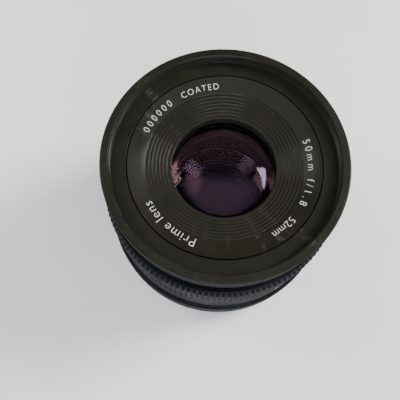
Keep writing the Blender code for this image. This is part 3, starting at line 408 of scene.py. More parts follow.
def metal(name, dull, bright, rough, pitch, height):
    """Turned metal: colour clouds, tool marks and roughness that follows the smears."""
    f = Finish(name, bright, rough, 1.0)
    smear = f.between(f.noise(220.0, 5.0), 0.3, 0.7)
    f.link(f.mix(smear, (*dull, 1.0), (*bright, 1.0)), "Base Color")
    f.link(f.between(f.noise(400.0, 4.0), 0.3, 0.7, rough - 0.06, rough + 0.10), "Roughness")
    lines = f.bump(lathe_lines(f, pitch), height)
    f.link(f.bump(f.noise(5000.0, 3.0), 0.000002, 0.5, lines), "Normal")
    return f.material


CHROME = metal("satin_chrome", (0.52, 0.51, 0.49), (0.66, 0.65, 0.63), 0.26, 0.00012, 0.0000012)
BRASS = metal("machined_brass", (0.46, 0.32, 0.13), (0.62, 0.46, 0.21), 0.34, 0.00010, 0.0000015)
STEEL = metal("turned_steel", (0.33, 0.33, 0.34), (0.50, 0.50, 0.51), 0.30, 0.00008, 0.0000010)
BLACKENED = metal("blackened_brass", (0.020, 0.017, 0.012), (0.034, 0.029, 0.021), 0.50,
                  0.00010, 0.0000010)
BLADE = metal("blackened_blade", (0.022, 0.022, 0.024), (0.040, 0.040, 0.043), 0.40,
              0.00005, 0.0000004)

# %% Paints


def enamel(name, colour, rough):
    """Paint wiped into an engraving: slightly uneven, thinner here and there."""
    f = Finish(name, colour, rough, 0.0)
    thin = f.between(f.noise(2600.0, 3.0), 0.35, 0.75)
    f.link(f.mix(thin, (*colour, 1.0), (*[c * 0.80 for c in colour], 1.0)), "Base Color")
    f.link(f.between(f.noise(5200.0, 2.0), 0.3, 0.7, rough - 0.06, rough + 0.10), "Roughness")
    f.link(f.bump(f.noise(7000.0, 2.0), 0.000003), "Normal")
    return f.material


WHITE = enamel("white_enamel", (0.58, 0.585, 0.56), 0.5)
RED = enamel("red_enamel", (0.50, 0.018, 0.016), 0.32)
print("metals and paints:", ", ".join(m.name for m in (CHROME, BRASS, STEEL, BLACKENED, BLADE,
                                                       WHITE, RED)))

# %% [markdown]
# ## Coated glass
#
# Each element is real glass that bends light, with a film on both faces that colours what it
# reflects: violet on the front element, magenta, blue and amber further in. The film is the
# shader's specular tint. A paler reflection would look like plain window glass.

# %% Glass


def coated_glass(name, film, body, ior):
    """Glass that bends light by `ior`, with a tinted film and the faint smears of a cloth."""
    f = Finish(name, body, 0.0, 0.0, IOR=ior)
    f.set("Transmission Weight", 1.0)
    f.set("Specular Tint", (*film, 1.0))
    wiped = f.between(f.noise(60.0, 3.0), 0.45, 0.75, 0.0, 0.02)
    f.link(wiped, "Roughness")
    tone = f.between(f.noise(40.0, 1.0), 0.3, 0.7)
    f.link(f.mix(tone, (*body, 1.0), (*[c * 0.985 for c in body], 1.0)), "Base Color")
    return f.material


GLASS = {
    "lens_1_front": coated_glass("glass_violet", (0.150, 0.105, 0.210), (0.92, 0.89, 0.93), 1.62),
    "lens_2": coated_glass("glass_magenta", (0.210, 0.105, 0.150), (0.90, 0.85, 0.88), 1.65),
    "lens_3": coated_glass("glass_amber", (0.210, 0.130, 0.085), (0.90, 0.85, 0.83), 1.60),
    "lens_4": coated_glass("glass_blue", (0.120, 0.120, 0.200), (0.90, 0.90, 0.93), 1.60),
    "lens_5": coated_glass("glass_violet_2", (0.160, 0.110, 0.210), (0.92, 0.90, 0.93), 1.65),
    "lens_6_rear": coated_glass("glass_green", (0.110, 0.190, 0.140), (0.92, 0.93, 0.92), 1.65),
}


def spherical_face(points, rows):
    """Rows from the axis out to the end of a curved face; its flat rim, if any, is left."""
    vertex, rim = points[0], points[-1]
    if len(points) > 2 and abs(points[-2, 1] - rim[1]) < ON_PLANE:
        rim = points[-2]
    r = np.linspace(0.0, rim[0], rows)
    fall = rim[1] - vertex[1]
    if abs(fall) < ON_PLANE:
        return np.stack([r, np.full(rows, vertex[1])], axis=1)
    size = (rim[0] ** 2 + fall ** 2) / (2 * abs(fall))
    z = vertex[1] + math.copysign(1.0, fall) * (size - np.sqrt(size ** 2 - r ** 2))
    return np.stack([r, z], axis=1)


def ground_element(node, rows=40, columns=120, ease=0.15):
    """Two spherical faces and a bevelled edge. A face's curvature radius follows from its
    radius a and how far it falls, h: (a squared + h squared) / 2h."""
    corners = section_of(node)
    edge_r = corners[:, 0].max()
    edge = np.flatnonzero(corners[:, 0] > edge_r - ON_PLANE)
    front = spherical_face(corners[: edge[0] + 1], rows)
    rear = spherical_face(corners[edge[-1]:][::-1], rows)
    top, end = corners[edge[0], 1], corners[edge[-1], 1]
    bevel = [(edge_r - ease, top), (edge_r, top - ease), (edge_r, end + ease), (edge_r - ease, end)]
    front, rear = (face[face[:, 0] < edge_r - 1.2 * ease] for face in (front, rear))
    profile = np.concatenate([front[1:], bevel, rear[:0:-1]])
    a = around(columns)
    r, z = profile[:, :1], profile[:, 1:]
    ring = np.stack([r * np.cos(a), r * np.sin(a), z + 0 * a], axis=-1).reshape(-1, 3)
    points = np.concatenate([ring, [[0, 0, front[0, 1]], [0, 0, rear[0, 1]]]])
    strips = grid_faces(len(profile), columns, False, True)
    return new_object(node + "_ground", points, [strips, *end_fans(len(profile), columns)])


for node, glass in GLASS.items():
    element = place(ground_element(node), "optical_block", [node], glass)
    print(element.name, len(element.data.polygons), "faces")

# %% [markdown]
# ## The filter ring
#
# The front of the lens: a flat lip, a 0.75 mm pitch thread for a 52 mm filter, and the floor
# that the name ring drops into. The thread could be a stack of grooves, but a real one is a
# helix, and here it costs one term: the phase of the groove also grows with the angle.

# %% Filter ring
THREAD_PITCH = 0.75
THREAD_DEPTH = 0.28
corners = section_of("filter_ring")
inside = corners[corners[:, 1] > TOP - 2.0]
THREAD_R = inside[:, 0].min()
FLOOR_Z = corners[(corners[:, 0] == THREAD_R), 1].min()
RIM_R = corners[:, 0].max()
print("thread radius", round(THREAD_R, 2), "rim radius", round(RIM_R, 2), "depth",
      round(TOP - FLOOR_Z, 2), "mm")


def filter_thread(a, r, z):
    """Cuts a helix into the bore: groove depth follows a rounded triangle of height / pitch
    plus turns, and fades out before the lip and the floor."""
    phase = (z / THREAD_PITCH + a / math.tau) % 1.0
    groove = np.clip(1.25 - abs(phase - 0.5) * 4.0, 0.0, 1.0)
    run_out = np.clip((z - FLOOR_Z - 0.25) / 0.2, 0, 1) * np.clip((TOP - 0.35 - z) / 0.15, 0, 1)
    bore = abs(r - THREAD_R) < 0.02
    return r + THREAD_DEPTH * groove * run_out * bore, z


rows = eased(corners, 0.10)
dense = refined(rows, 0.07)
bore = (abs(dense[:, 0] - THREAD_R) < 0.02) & (dense[:, 1] > FLOOR_Z)
keep = bore | (abs(dense[:, None] - rows[None]).sum(axis=2).min(axis=1) < 1e-6)
filter_ring = turned("filter_ring_threaded", dense[keep], around(300), filter_thread)
place(filter_ring, "optical_block", ["filter_ring"], BLACK)
print("filter ring", len(filter_ring.data.polygons), "faces")

# %% [markdown]
# ## The name ring
#
# A dished ring with steps cut into its inner half, so that no bright face looks at the
# front glass. Outside the steps is a plain band for the lettering. The steps are a
# saw-tooth added to the height of the dish between two radii.

# %% Name ring
STEP_OUTER, STEP_COUNT, STEP_RISE = 18.35, 7, 0.16
corners = section_of("name_ring")
OPENING_R, NAME_R = corners[:, 0].min(), corners[:, 0].max()
STEP_INNER = OPENING_R + 0.35
face_z = {"in": corners[corners[:, 0] == OPENING_R, 1].max(), "out": corners[:, 1].max()}
slope = (face_z["out"] - face_z["in"]) / (NAME_R - OPENING_R)
STEP_PITCH = (STEP_OUTER - STEP_INNER) / STEP_COUNT


def dish_height(r):
    """Height of the plain dish at a radius."""
    return face_z["out"] - (NAME_R - r) * slope


def stepped_dish():
    """Profile rows of the steps, outside in: each falls steeply towards the axis, then
    climbs back slowly. The rounded crest between the two catches the light as a thin line."""
    s = np.array([0.0, 0.04, 0.08, 0.12, 0.16, 0.20, 0.24, 0.28, 0.40, 0.55, 0.70, 0.85, 0.95])
    t = np.where(s < 0.28, s / 0.28, (1.0 - s) / 0.72)
    wave = t * t * (3.0 - 2.0 * t)
    k = np.arange(STEP_COUNT)[:, None]
    r = STEP_OUTER - (k + s[None, :]) * STEP_PITCH
    z = dish_height(r) - STEP_RISE * wave[None, :]
    return np.stack([r.ravel(), z.ravel()], axis=1)


rows = np.concatenate([eased(corners, 0.08), stepped_dish()[::-1]])
name_ring = turned("name_ring_stepped", rows, around(288))
place(name_ring, "optical_block", ["name_ring"], BLACK_TURNED)
print("dish slope", round(math.degrees(math.atan(slope)), 1), "degrees,", STEP_COUNT, "steps of",
      round(STEP_PITCH, 2), "mm")

# %% [markdown]
# ## The aperture ring
#
# A fine straight knurl at the front, made on a lathe by a wheel that presses V-shaped
# valleys, then a plain waist for the stop numbers. The knurl is the lower of two surfaces,
# the plain ring and the valleys, so it also notches the chamfers, as a real cutter does.

# %% Knurls, flutes and recesses


def valleys(a, count, share):
    """Depth of V-shaped valleys from 0 on a tooth to 1 in the middle of a valley, which
    takes up `share` of the pitch."""
    off_centre = abs((a * count / math.tau) % 1.0 - 0.5) * 2
    return np.clip(1.0 - off_centre / share, 0.0, 1.0)


def knurl_angles(count, phases):
    """Columns at the same phases of every tooth, so that its edges stay crisp."""
    return ((np.arange(count)[:, None] + np.array(phases)[None, :]) * math.tau / count).ravel()


def fade(distance, radius, soft=0.08):
    """One inside a radius, zero outside it, smooth between."""
    t = np.clip((radius - distance) / soft + 0.5, 0.0, 1.0)
    return t * t * (3 - 2 * t)


def side_distance(a, z, r, angle, height):
    """Distance along a cylinder's surface from a point on it, by arc length and height."""
    turn = (a - angle + math.pi) % math.tau - math.pi
    return np.hypot(turn * r, z - height)


def dense_rows(rows, low, high, step, outer_r):
    """The profile's own rows, and more on its outer wall between two heights."""
    more = refined(rows, step)
    wanted = (more[:, 0] > outer_r) & (more[:, 1] > low) & (more[:, 1] < high)
    own = (abs(more[:, None] - rows[None]).sum(axis=2) < 1e-9).any(axis=1)
    return more[wanted | own]


# %% Aperture ring
KNURL_COUNT, KNURL_DEPTH = 300, 0.24
corners = section_of("aperture_ring")
APERTURE_R = corners[:, 0].max()
WAIST_R = corners[(corners[:, 1] < TOP - 8.0), 0].max()
low, high = box_mm("aperture_drive_screw")
DRIVE = (low + high) / 2
DRIVE_ANGLE = math.atan2(DRIVE[1], DRIVE[0])
print("waist radius", WAIST_R, "drive screw at", round(math.degrees(DRIVE_ANGLE)), "degrees")


def aperture_shape(a, r, z):
    """Knurl on whatever stands proud of the waist, and a round recess for the screw head."""
    knurled = APERTURE_R - KNURL_DEPTH * valleys(a, KNURL_COUNT, 0.95)
    r = np.where(r > WAIST_R + 0.3, np.minimum(r, knurled), r)
    outer = abs(r - WAIST_R) < 0.01
    recess = fade(side_distance(a, z, WAIST_R, DRIVE_ANGLE, DRIVE[2]), 1.5)
    return r - 0.9 * recess * outer, z


rows = dense_rows(eased(corners, 0.10, 3), DRIVE[2] - 1.8, DRIVE[2] + 1.8, 0.22, WAIST_R - 0.05)
aperture_ring = turned("aperture_ring_knurled", rows, knurl_angles(KNURL_COUNT, (0, .25, .5, .75)),
                       aperture_shape)
# The blue tint of the grip black is painted cool light.
place(aperture_ring, "aperture", ["aperture_ring"], BLACK_GRIP_PAINTED_COOL)
print("aperture ring", len(aperture_ring.data.polygons), "faces")

# %% [markdown]
# ## The focus ring
#
# Wide V-flutes for the fingers, then a groove and a smooth band for the distance scale.
# Three grub screws hold the ring to the helicoid inside it, each at the foot of a hole.

# %% Focus ring
FLUTE_COUNT, FLUTE_DEPTH, FLUTE_SHARE = 132, 0.45, 0.65
corners = section_of("focus_ring")
FOCUS_R = corners[:, 0].max()
BAND_R = np.sort(np.unique(corners[:, 0]))[-2]
GRUB = [(low + high) / 2 for low, high in (box_mm(f"focus_set_screw_{i}") for i in (1, 2, 3))]
GRIP_END = corners[corners[:, 0] == FOCUS_R, 1].min()


def focus_shape(a, r, z):
    """Flutes over the grip, then the holes of the three grub screws in the band."""
    fluted = FOCUS_R - FLUTE_DEPTH * valleys(a, FLUTE_COUNT, FLUTE_SHARE)
    grip = (z > GRIP_END - 0.01) & (r > BAND_R - 1.0)
    r = np.where(grip, np.minimum(r, fluted), r)
    outer = abs(r - BAND_R) < 0.01
    for spot in GRUB:
        angle = math.atan2(spot[1], spot[0])
        r = r - 0.55 * fade(side_distance(a, z, BAND_R, angle, spot[2]), 0.95) * outer
    return r, z


edge = (1 - FLUTE_SHARE) / 2
phases = (0.0, edge, edge + 0.16, 0.5, 1 - edge - 0.16, 1 - edge)
rows = dense_rows(eased(corners, 0.10, 3), GRUB[0][2] - 1.2, GRUB[0][2] + 1.2, 0.16, BAND_R - 0.05)
focus_ring = turned("focus_ring_fluted", rows, knurl_angles(FLUTE_COUNT, phases), focus_shape)
# The blue tint of the grip black is painted cool light.
place(focus_ring, "focus", ["focus_ring"], BLACK_GRIP_PAINTED_COOL)
print("focus ring", len(focus_ring.data.polygons), "faces")

# %% [markdown]
# ## The rear barrel and the mount
#
# The fixed ring carries the index dot in a shallow round recess. The grid is finer round
# the dot and the screws: extra columns cost less there than a finer ring all the way round.

# %% Rear barrel


def finer_at(columns, angles, half_width, count):
    """Even columns plus a dense bunch on each side of some angles, in degrees."""
    bunches = [np.radians(np.linspace(a - half_width, a + half_width, count)) for a in angles]
    return np.unique(np.concatenate([around(columns), *bunches]) % math.tau)


corners = section_of("rear_barrel")
REAR_R = corners[:, 0].max()
PAINT_THICK = 0.02               # the marks' paint stands this proud, so the skin is lowered
MARK_R = REAR_R - PAINT_THICK
low, high = box_mm("mount_index_dot")
DOT = (low + high) / 2
DOT_R = (high[2] - low[2]) / 2
DOT_ANGLE = math.atan2(DOT[1], DOT[0])


def barrel_shape(a, r, z):
    """The recess of the index dot, in a skin lowered by the thickness of the painted marks."""
    outer = r > REAR_R - 0.01
    recess = fade(side_distance(a, z, REAR_R, DOT_ANGLE, DOT[2]), DOT_R + 0.12, 0.06)
    return r - PAINT_THICK * outer - 0.20 * recess * outer, z


rows = dense_rows(eased(corners, 0.28), DOT[2] - 1.5, DOT[2] + 1.5, 0.08, REAR_R - 0.05)
rear_barrel = turned("rear_barrel_smooth", rows, finer_at(288, [math.degrees(DOT_ANGLE)], 2.8, 57),
                     barrel_shape)
# The rear barrel takes the grip black, whose blue tint is painted cool light.
place(rear_barrel, "mount_body", ["rear_barrel"], BLACK_GRIP_PAINTED_COOL)
print("rear barrel", len(rear_barrel.data.polygons), "faces")

# %% [markdown]
# ### The bayonet plate
#
# A chromed plate with a short tube, and three tabs on the tube that turn and lock in a
# camera. The section at angle zero shows the tube only, so the tabs are measured from the
# plate's other points and added as a lift of the radius between two angles.

# %% Bayonet plate
corners = section_of("mount_plate")
FLANGE_Z = np.sort(np.unique(corners[:, 1]))[1]
TUBE_R = corners[corners[:, 1] < 0.01, 0].max()
plate = node_points("mount_plate")
tabs = plate[(plate[:, 2] < FLANGE_Z - 0.1) & (np.hypot(*plate[:, :2].T) > TUBE_R + 0.5)]
TAB_R = np.hypot(*tabs[:, :2].T).max()
TAB_Z = (tabs[:, 2].min(), tabs[:, 2].max())
TAB_FIRST, TAB_HALF = 60.0, 28.0                  # degrees
screws = [(low + high) / 2 for low, high in (box_mm(f"mount_screw_{i}") for i in (1, 2, 3, 4))]
SCREW_R = float(np.mean([math.hypot(*s[:2]) for s in screws]))
print("tabs to radius", round(TAB_R, 2), "heights", np.round(TAB_Z, 2), "screws at", round(SCREW_R, 2))


def plate_shape(a, r, z):
    """Three tabs stand out of the tube, with eased ends; four recesses sink the screws."""
    turn = (a - math.radians(TAB_FIRST)) % (math.tau / 3)
    turn = np.minimum(turn, math.tau / 3 - turn)
    tab = fade(turn * TUBE_R, math.radians(TAB_HALF) * TUBE_R, 0.25)
    tab = tab * np.clip((z - TAB_Z[0]) / 0.08, 0, 1) * np.clip((TAB_Z[1] - z) / 0.04, 0, 1)
    outer = (abs(r - TUBE_R) < 0.01) & (z < FLANGE_Z - 0.3)
    r = r + (TAB_R - TUBE_R) * tab * outer
    face = (abs(z - FLANGE_Z) < 0.01) & (r > TUBE_R + 0.5) & (r < REAR_R - 2.0)
    for x, y, _ in screws:
        away = np.hypot(r * np.cos(a) - x, r * np.sin(a) - y)
        z = z + 1.0 * fade(away, 1.45) * face
    return r, z


rows = eased(corners, 0.10)
extra = refined(rows, 0.13)
on_face = (abs(extra[:, 1] - FLANGE_Z) < 0.01) & (abs(extra[:, 0] - SCREW_R) < 1.8)
on_tube = (abs(extra[:, 0] - TUBE_R) < 0.01) & (extra[:, 1] < FLANGE_Z - 0.3)
own = (abs(extra[:, None] - rows[None]).sum(axis=2) < 1e-9).any(axis=1)
rows = extra[on_face | on_tube | own]
ends = [TAB_FIRST + 120.0 * k + side * TAB_HALF for k in range(3) for side in (-1, 1)]
angles = np.unique(np.concatenate([finer_at(240, [45, 135, 225, 315], 4.0, 41),
                                   finer_at(240, ends, 0.5, 9)]))
mount_plate = turned("mount_plate_smooth", rows, angles, plate_shape)
place(mount_plate, "mount_body", ["mount_plate"], CHROME)
print("mount plate", len(mount_plate.data.polygons), "faces")

# %% [markdown]
# ## Screws, pins and the index dot
#
# A fastener is a disc-shaped grid: rings of points from the middle of the head out, over
# its edge and down the shank. The cross is pressed into the rings near the middle. Each is
# built along its own axis and turned into place in the same step.

# %% Fasteners


def fastener(name, foot, top, radius, recess, dome=0.10, shank=None, columns=48):
    """A round solid from `top` down to `foot`, both (x, y, z). `recess(u, v)` gives how
    deep the driver's recess is at a point of the head, as shares of the head's radius."""
    foot, top = np.array(foot, float), np.array(top, float)
    axis = (top - foot) / np.linalg.norm(top - foot)
    side = np.cross(axis, [0.0, 0.0, 1.0] if abs(axis[2]) < 0.9 else [0.0, 1.0, 0.0])
    side /= np.linalg.norm(side)
    length = np.linalg.norm(top - foot)
    share = np.linspace(0.04, 0.94, 26)
    head = [(radius * s, -dome * s ** 2) for s in share]
    head += [(radius * 0.985, -dome - 0.03), (radius, -dome - 0.09)]
    if shank:
        neck, shank_r = shank
        head += [(radius, -neck), (shank_r, -neck - 0.02), (shank_r, -length + 0.1),
                 (shank_r - 0.1, -length)]
    else:
        head += [(radius, -length + 0.1), (radius - 0.1, -length)]
    r, w = np.array(head).T[:, :, None]
    a = around(columns)[None, :]
    u, v, w = r * np.cos(a), r * np.sin(a), w + 0 * a
    w = w - recess(u / radius, v / radius) * (w > -dome - 0.01)
    centre = -recess(np.zeros(1), np.zeros(1))[0]
    local = np.stack([u, v, w], axis=-1).reshape(-1, 3)
    local = np.concatenate([local, [[0, 0, centre], [0, 0, -length]]])
    points = top + local @ np.stack([side, np.cross(axis, side), axis])
    strips = grid_faces(len(head), columns, False, True)
    return new_object(name, points, [strips, *end_fans(len(head), columns)])


def cross_recess(u, v):
    """Two crossed wings, deepest in the middle."""
    arm = np.maximum(abs(u), abs(v))
    wing = fade(np.minimum(abs(u), abs(v)), 0.17, 0.10) * fade(arm, 0.62, 0.12)
    return 0.42 * wing * (1.0 - 0.5 * arm)


def hex_recess(u, v):
    """A hexagonal socket: the distance to the nearest pair of flats."""
    flats = [abs(u * math.cos(t) + v * math.sin(t)) for t in (0.0, math.pi / 3, math.tau / 3)]
    return 0.45 * fade(np.maximum(np.maximum(flats[0], flats[1]), flats[2]), 0.52, 0.08)


def no_recess(u, v):
    """A plain head."""
    return 0.0 * u


for i, (x, y, z) in enumerate(screws, 1):
    low, high = box_mm(f"mount_screw_{i}")
    head_r = (high[0] - low[0]) / 2
    screw = fastener(f"mount_screw_{i}_crosshead", (x, y, high[2]), (x, y, low[2]), head_r,
                     cross_recess, shank=(0.9, 0.7))
    place(screw, "mount_body", [f"mount_screw_{i}"], STEEL)


def radial_pair(spot, r_in, r_out):
    """Inner and outer ends of a piece that points away from the axis."""
    out = np.array([spot[0], spot[1], 0.0]) / math.hypot(spot[0], spot[1])
    level = np.array([0.0, 0.0, spot[2]])
    return out * r_in + level, out * r_out + level


def radial_reach(node):
    """Smallest and largest distance from the axis of a node's points."""
    away = np.hypot(*node_points(node)[:, :2].T)
    return away.min(), away.max()


for i, spot in enumerate(GRUB, 1):
    foot, top = radial_pair(spot, *radial_reach(f"focus_set_screw_{i}"))
    screw = fastener(f"focus_set_screw_{i}_socket", foot, top, 0.8, hex_recess, dome=0.02)
    place(screw, "focus", [f"focus_set_screw_{i}"], STEEL)
foot, top = radial_pair(DRIVE, *radial_reach("aperture_drive_screw"))
drive = fastener("aperture_drive_screw_crosshead", foot, top, 1.3, cross_recess, shank=(1.0, 0.7))
place(drive, "aperture", ["aperture_drive_screw"], STEEL)
foot, top = radial_pair(DOT, *radial_reach("mount_index_dot"))
dot = fastener("mount_index_dot_enamel", foot, top, DOT_R, no_recess, dome=0.12)
place(dot, "mount_body", ["mount_index_dot"], RED)
print("fasteners:", len(screws), "crossheads,", len(GRUB), "grub screws, a drive screw and a dot")

# %% [markdown]
# ## The iris
#
# Twelve crescents of thin steel. Each climbs along its arc, so that all of them can overlap
# in a ring like the steps of a winding stair. Its ends are rounded about their pins.

# %% Blades
BLADES = [f"iris_blade_{i:02d}" for i in range(1, 13)]
END_ROUND = 1.25
BLADE_THICK = 0.05
PIN_INSET = 1.3                  # from the blade's outer edge in to the middle of a pin
PIVOT_R, DRIVE_PIN_R = 0.6, 0.5


def measured_blade(node):
    """Inner and outer radius, start and end angle, and the lowest and highest underside of
    a blade, with its angles counted from its own pivot."""
    x, y, z = node_points(node).T
    r = np.hypot(x, y)
    turn = math.radians(360.0 / len(BLADES) * (int(node[-2:]) - 1))
    a = (np.arctan2(y, x) - turn + 0.5) % math.tau - 0.5
    inner = r < r.min() + 0.02
    return r.min(), r.max(), turn, a[inner].min(), a[inner].max(), z[inner].min(), z[inner].max()


def pin(x, y, low, high, radius, columns=16):
    """Points and faces of a closed round pin, its ends eased."""
    r, z = np.array([(0.6, 0.0), (1.0, 0.08), (1.0, -0.08), (0.6, 0.0)]).T
    z = np.array([low, low, high, high]) + z
    a = around(columns)
    ring = [x + radius * r[::-1, None] * np.cos(a), y + radius * r[::-1, None] * np.sin(a)]
    points = np.stack([*ring, z[::-1, None] + 0 * a], axis=-1).reshape(-1, 3)
    first = np.arange(columns)
    caps = [first[None, :], (len(points) - 1 - first)[None, :]]
    return points, [grid_faces(4, columns, False, True), *caps]


def blade_surface(node, columns=72, across=7):
    """The loop round the blade's section, top out and bottom back, carried along its arc;
    near each end both edges close in on a quarter circle."""
    r_in, r_out, turn, start, end, low, high = measured_blade(node)
    a = np.linspace(start, end, columns)
    run = np.minimum(a - start, end - a) * (r_in + r_out) / 2
    inside = np.clip(END_ROUND - run, 0.0, END_ROUND)
    pull = END_ROUND - np.sqrt(END_ROUND ** 2 - inside ** 2)
    share = np.linspace(0.0, 1.0, across)[:, None]
    r = (r_in + pull) * (1 - share) + (r_out - pull) * share
    z = np.broadcast_to(low + (high - BLADE_THICK - low) * (a - start) / (end - start), r.shape)
    r, z = np.concatenate([r, r[::-1]]), np.concatenate([z + BLADE_THICK, z[::-1]])
    points = np.stack([r * np.cos(a + turn), r * np.sin(a + turn), z], axis=-1).reshape(-1, 3)
    k = np.arange(across - 1)
    far = 2 * across - 1 - k
    cap = np.stack([k, far, far - 1, k + 1], axis=1) * columns
    loops = grid_faces(2 * across, columns, True, False)
    return points, [loops[:, ::-1], cap[:, ::-1], cap + columns - 1]


def blade(node):
    """The crescent, a pivot pin under its first end and a drive pin over its last."""
    points, faces = blade_surface(node)
    _, r_out, turn, start, end, low, high = measured_blade(node)
    away = r_out - PIN_INSET
    low_z, high_z = box_mm(node)[0][2], box_mm(node)[1][2]
    for angle, foot_z, top_z, radius in ((turn, low_z, low + 0.2, PIVOT_R),
                                         (turn + start + end, high - 0.2, high_z, DRIVE_PIN_R)):
        x, y = away * math.cos(angle), away * math.sin(angle)
        more, more_faces = pin(x, y, foot_z, top_z, radius)
        faces += [f + len(points) for f in more_faces]
        points = np.concatenate([points, more])
    return new_object(node + "_fine", points, faces)


for node in BLADES:
    place(blade(node), "blade_" + node[-2:], [node], BLADE)

# %% [markdown]
# ## The rings inside
#
# Cells, spacers, retainers and tubes are plain turned work, so one loop makes them all from
# their own sections. Only what differs is listed: the finish and the body each one rides on.

# %% Plain turned pieces
PLAIN = {
    "block_barrel": ("optical_block", "black_anodised", BLACK),
    "front_cell": ("optical_block", "matt_black", MATT),
    "rear_cell": ("optical_block", "matt_black", MATT),
    "lens_1_retainer": ("optical_block", "matt_black", MATT),
    "rear_retainer": ("optical_block", "matt_black", MATT),
    "front_spacer": ("optical_block", "brass", BLACKENED),
    "rear_spacer": ("optical_block", "brass", BLACKENED),
    "guide_tube": ("mount_body", "matt_black", MATT),
    "light_baffle": ("mount_body", "matt_black", FLOCK),
    "helicoid_retainer": ("mount_body", "brass", BRASS),
    "focus_helicoid": ("focus", "brass", BRASS),
}
for node, (body, slot, material) in PLAIN.items():
    ring = turned(node + "_turned", eased(section_of(node), 0.08), around(192))
    place(ring, body, [node], material)
print("plain rings", len(PLAIN))

# %% [markdown]
# ### Pieces kept from the frame
#
# The slotted cam ring, the iris housing with its pivot holes, the keys, their screws and the
# stop pin can't be seen in a whole lens, and are already the right shape. They only need
# their finish.

# %% Kept pieces
KEPT = {"iris_cam_ring": BRASS, "iris_housing": MATT, "guide_key_1": BRASS, "guide_key_2": BRASS,
        "guide_key_screw_1": STEEL, "guide_key_screw_2": STEEL, "focus_stop_pin": STEEL}
for node, material in KEPT.items():
    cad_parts[node].data.materials.clear()
    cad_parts[node].data.materials.append(material)
print("kept pieces", len(KEPT))

# %% [markdown]
# ## Lettering
#
# The marks are cut into the metal and filled with white paint. Text is made a mesh first,
# and then wrapped: along the ring's circle for the front, round the cylinder for the
# scales. Wrapping moves points only, so the letters keep the surface's own slope.

# %% Text to points
CAPITAL_SHARE = 0.729            # height of a capital as a share of the font's size
THINNER = 0.016                  # an engraver's strokes are thinner than the font's


def text_outline(body, height, spacing):
    """Points and triangles of a line of text, centred across, its capitals `height` tall."""
    curve = bpy.data.curves.new("text", "FONT")
    curve.body = body
    curve.align_x = "CENTER"
    curve.size = height / CAPITAL_SHARE
    curve.space_character = spacing
    curve.resolution_u = 5
    curve.offset = -THINNER * curve.size
    curve.extrude = PAINT_THICK
    holder = bpy.data.objects.new("text", curve)
    bpy.context.scene.collection.objects.link(holder)
    bpy.context.view_layer.update()
    drawn = holder.evaluated_get(bpy.context.evaluated_depsgraph_get())
    mesh = bpy.data.meshes.new_from_object(drawn)
    mesh.calc_loop_triangles()
    faces = np.empty(len(mesh.loop_triangles) * 3, np.int32)
    mesh.loop_triangles.foreach_get("vertices", faces)
    points, index = np.unique(points_of(mesh).round(5), axis=0, return_inverse=True)
    bpy.data.objects.remove(holder)
    bpy.data.curves.remove(curve)
    bpy.data.meshes.remove(mesh)
    middle = [(points[:, 0].max() + points[:, 0].min()) / 2, height / 2, 0.0]
    return points.astype(float) - middle, index.ravel()[faces.reshape(-1, 3)]


def flat_text(body, height, width=None):
    """A line of text; letter-spaced to a width, if one is given, as engravers do."""
    if width is None:
        return text_outline(body, height, 1.08)
    close, wide = (np.ptp(text_outline(body, height, s)[0][:, 0]) for s in (1.0, 2.0))
    return text_outline(body, height, 1.0 + (width - close) / (wide - close))


def tick(width, height):
    """A short engraved line: a thin box, as points and triangles."""
    x, y, z = np.array([(i & 1, i >> 1 & 1, i >> 2) for i in range(8)], float).T - 0.5
    faces = [(0, 2, 3), (0, 3, 1), (4, 5, 7), (4, 7, 6), (0, 1, 5), (0, 5, 4), (2, 6, 7), (2, 7, 3),
             (0, 4, 6), (0, 6, 2), (1, 3, 7), (1, 7, 5)]
    return np.stack([x * width, y * height, z * 2 * PAINT_THICK], axis=1), np.array(faces)


def on_dish(points, radius, angle):
    """Wraps text clockwise round the dish, tops outward."""
    x, y, z = points.T
    turn = math.radians(angle) - x / radius
    r = radius + y
    return np.stack([r * np.cos(turn), r * np.sin(turn), dish_height(r) + z], axis=1)


def on_side(points, radius, angle, height):
    """Wraps text round a cylinder, tops towards the front, read from outside."""
    x, y, z = points.T
    turn = math.radians(angle) + x / radius
    r = radius + z
    return np.stack([r * np.cos(turn), r * np.sin(turn), height + y], axis=1)


def lettering(name, parts, body, paint):
    """Joins wrapped pieces of text into one piece and rides it on a body."""
    points, faces, count = [], [], 0
    for p, f in parts:
        points.append(p)
        faces.append(f + count)
        count += len(p)
    obj = new_object(name, np.concatenate(points), [np.concatenate(faces)])
    return place(obj, body, [], paint)


# %% Front lettering
LETTER_R = 19.95
front = [("50mm f/1.8", 1.70, -6.3, 47.5), ("52mm", 1.75, -49.6, 17.0),
         ("Prime lens", 2.20, 229.2, 41.5), ("000000", 1.62, 143.0, 27.5),
         ("COATED", 1.50, 106.9, 27.0)]
parts = []
for body, height, angle, span in front:
    points, faces = flat_text(body, height, math.radians(span) * LETTER_R)
    parts.append((on_dish(points, LETTER_R, angle), faces))
letters = lettering("name_ring_letters", parts, "optical_block", WHITE)
print("front lettering", len(letters.data.polygons), "faces at radius", LETTER_R)

# %% [markdown]
# ## The scales
#
# Each number sits where the index will meet it: stops are evenly spaced by the click plate,
# distances are not, because focus travel goes with one over the distance. The fixed barrel
# has the index line and a pair of marks on each side for the depth of field at some stops.

# %% Scales
INDEX = 90.0
parts = []
for k, body in enumerate(("1.8", "2.8", "4", "5.6", "8", "11", "16")):
    points, faces = flat_text(body, 1.9)
    parts.append((on_side(points, WAIST_R, INDEX - 10.0 * k, DRIVE[2] + 0.5), faces))
    points, faces = tick(0.22, 0.8)
    parts.append((on_side(points, WAIST_R, INDEX - 10.0 * k, DRIVE[2] + 2.5), faces))
lettering("aperture_numbers", parts, "aperture", WHITE)
points, faces = tick(0.35, 0.9)
lettering("aperture_index", [(on_side(points, RIM_R, INDEX, TOP - 0.9), faces)], "optical_block",
          WHITE)

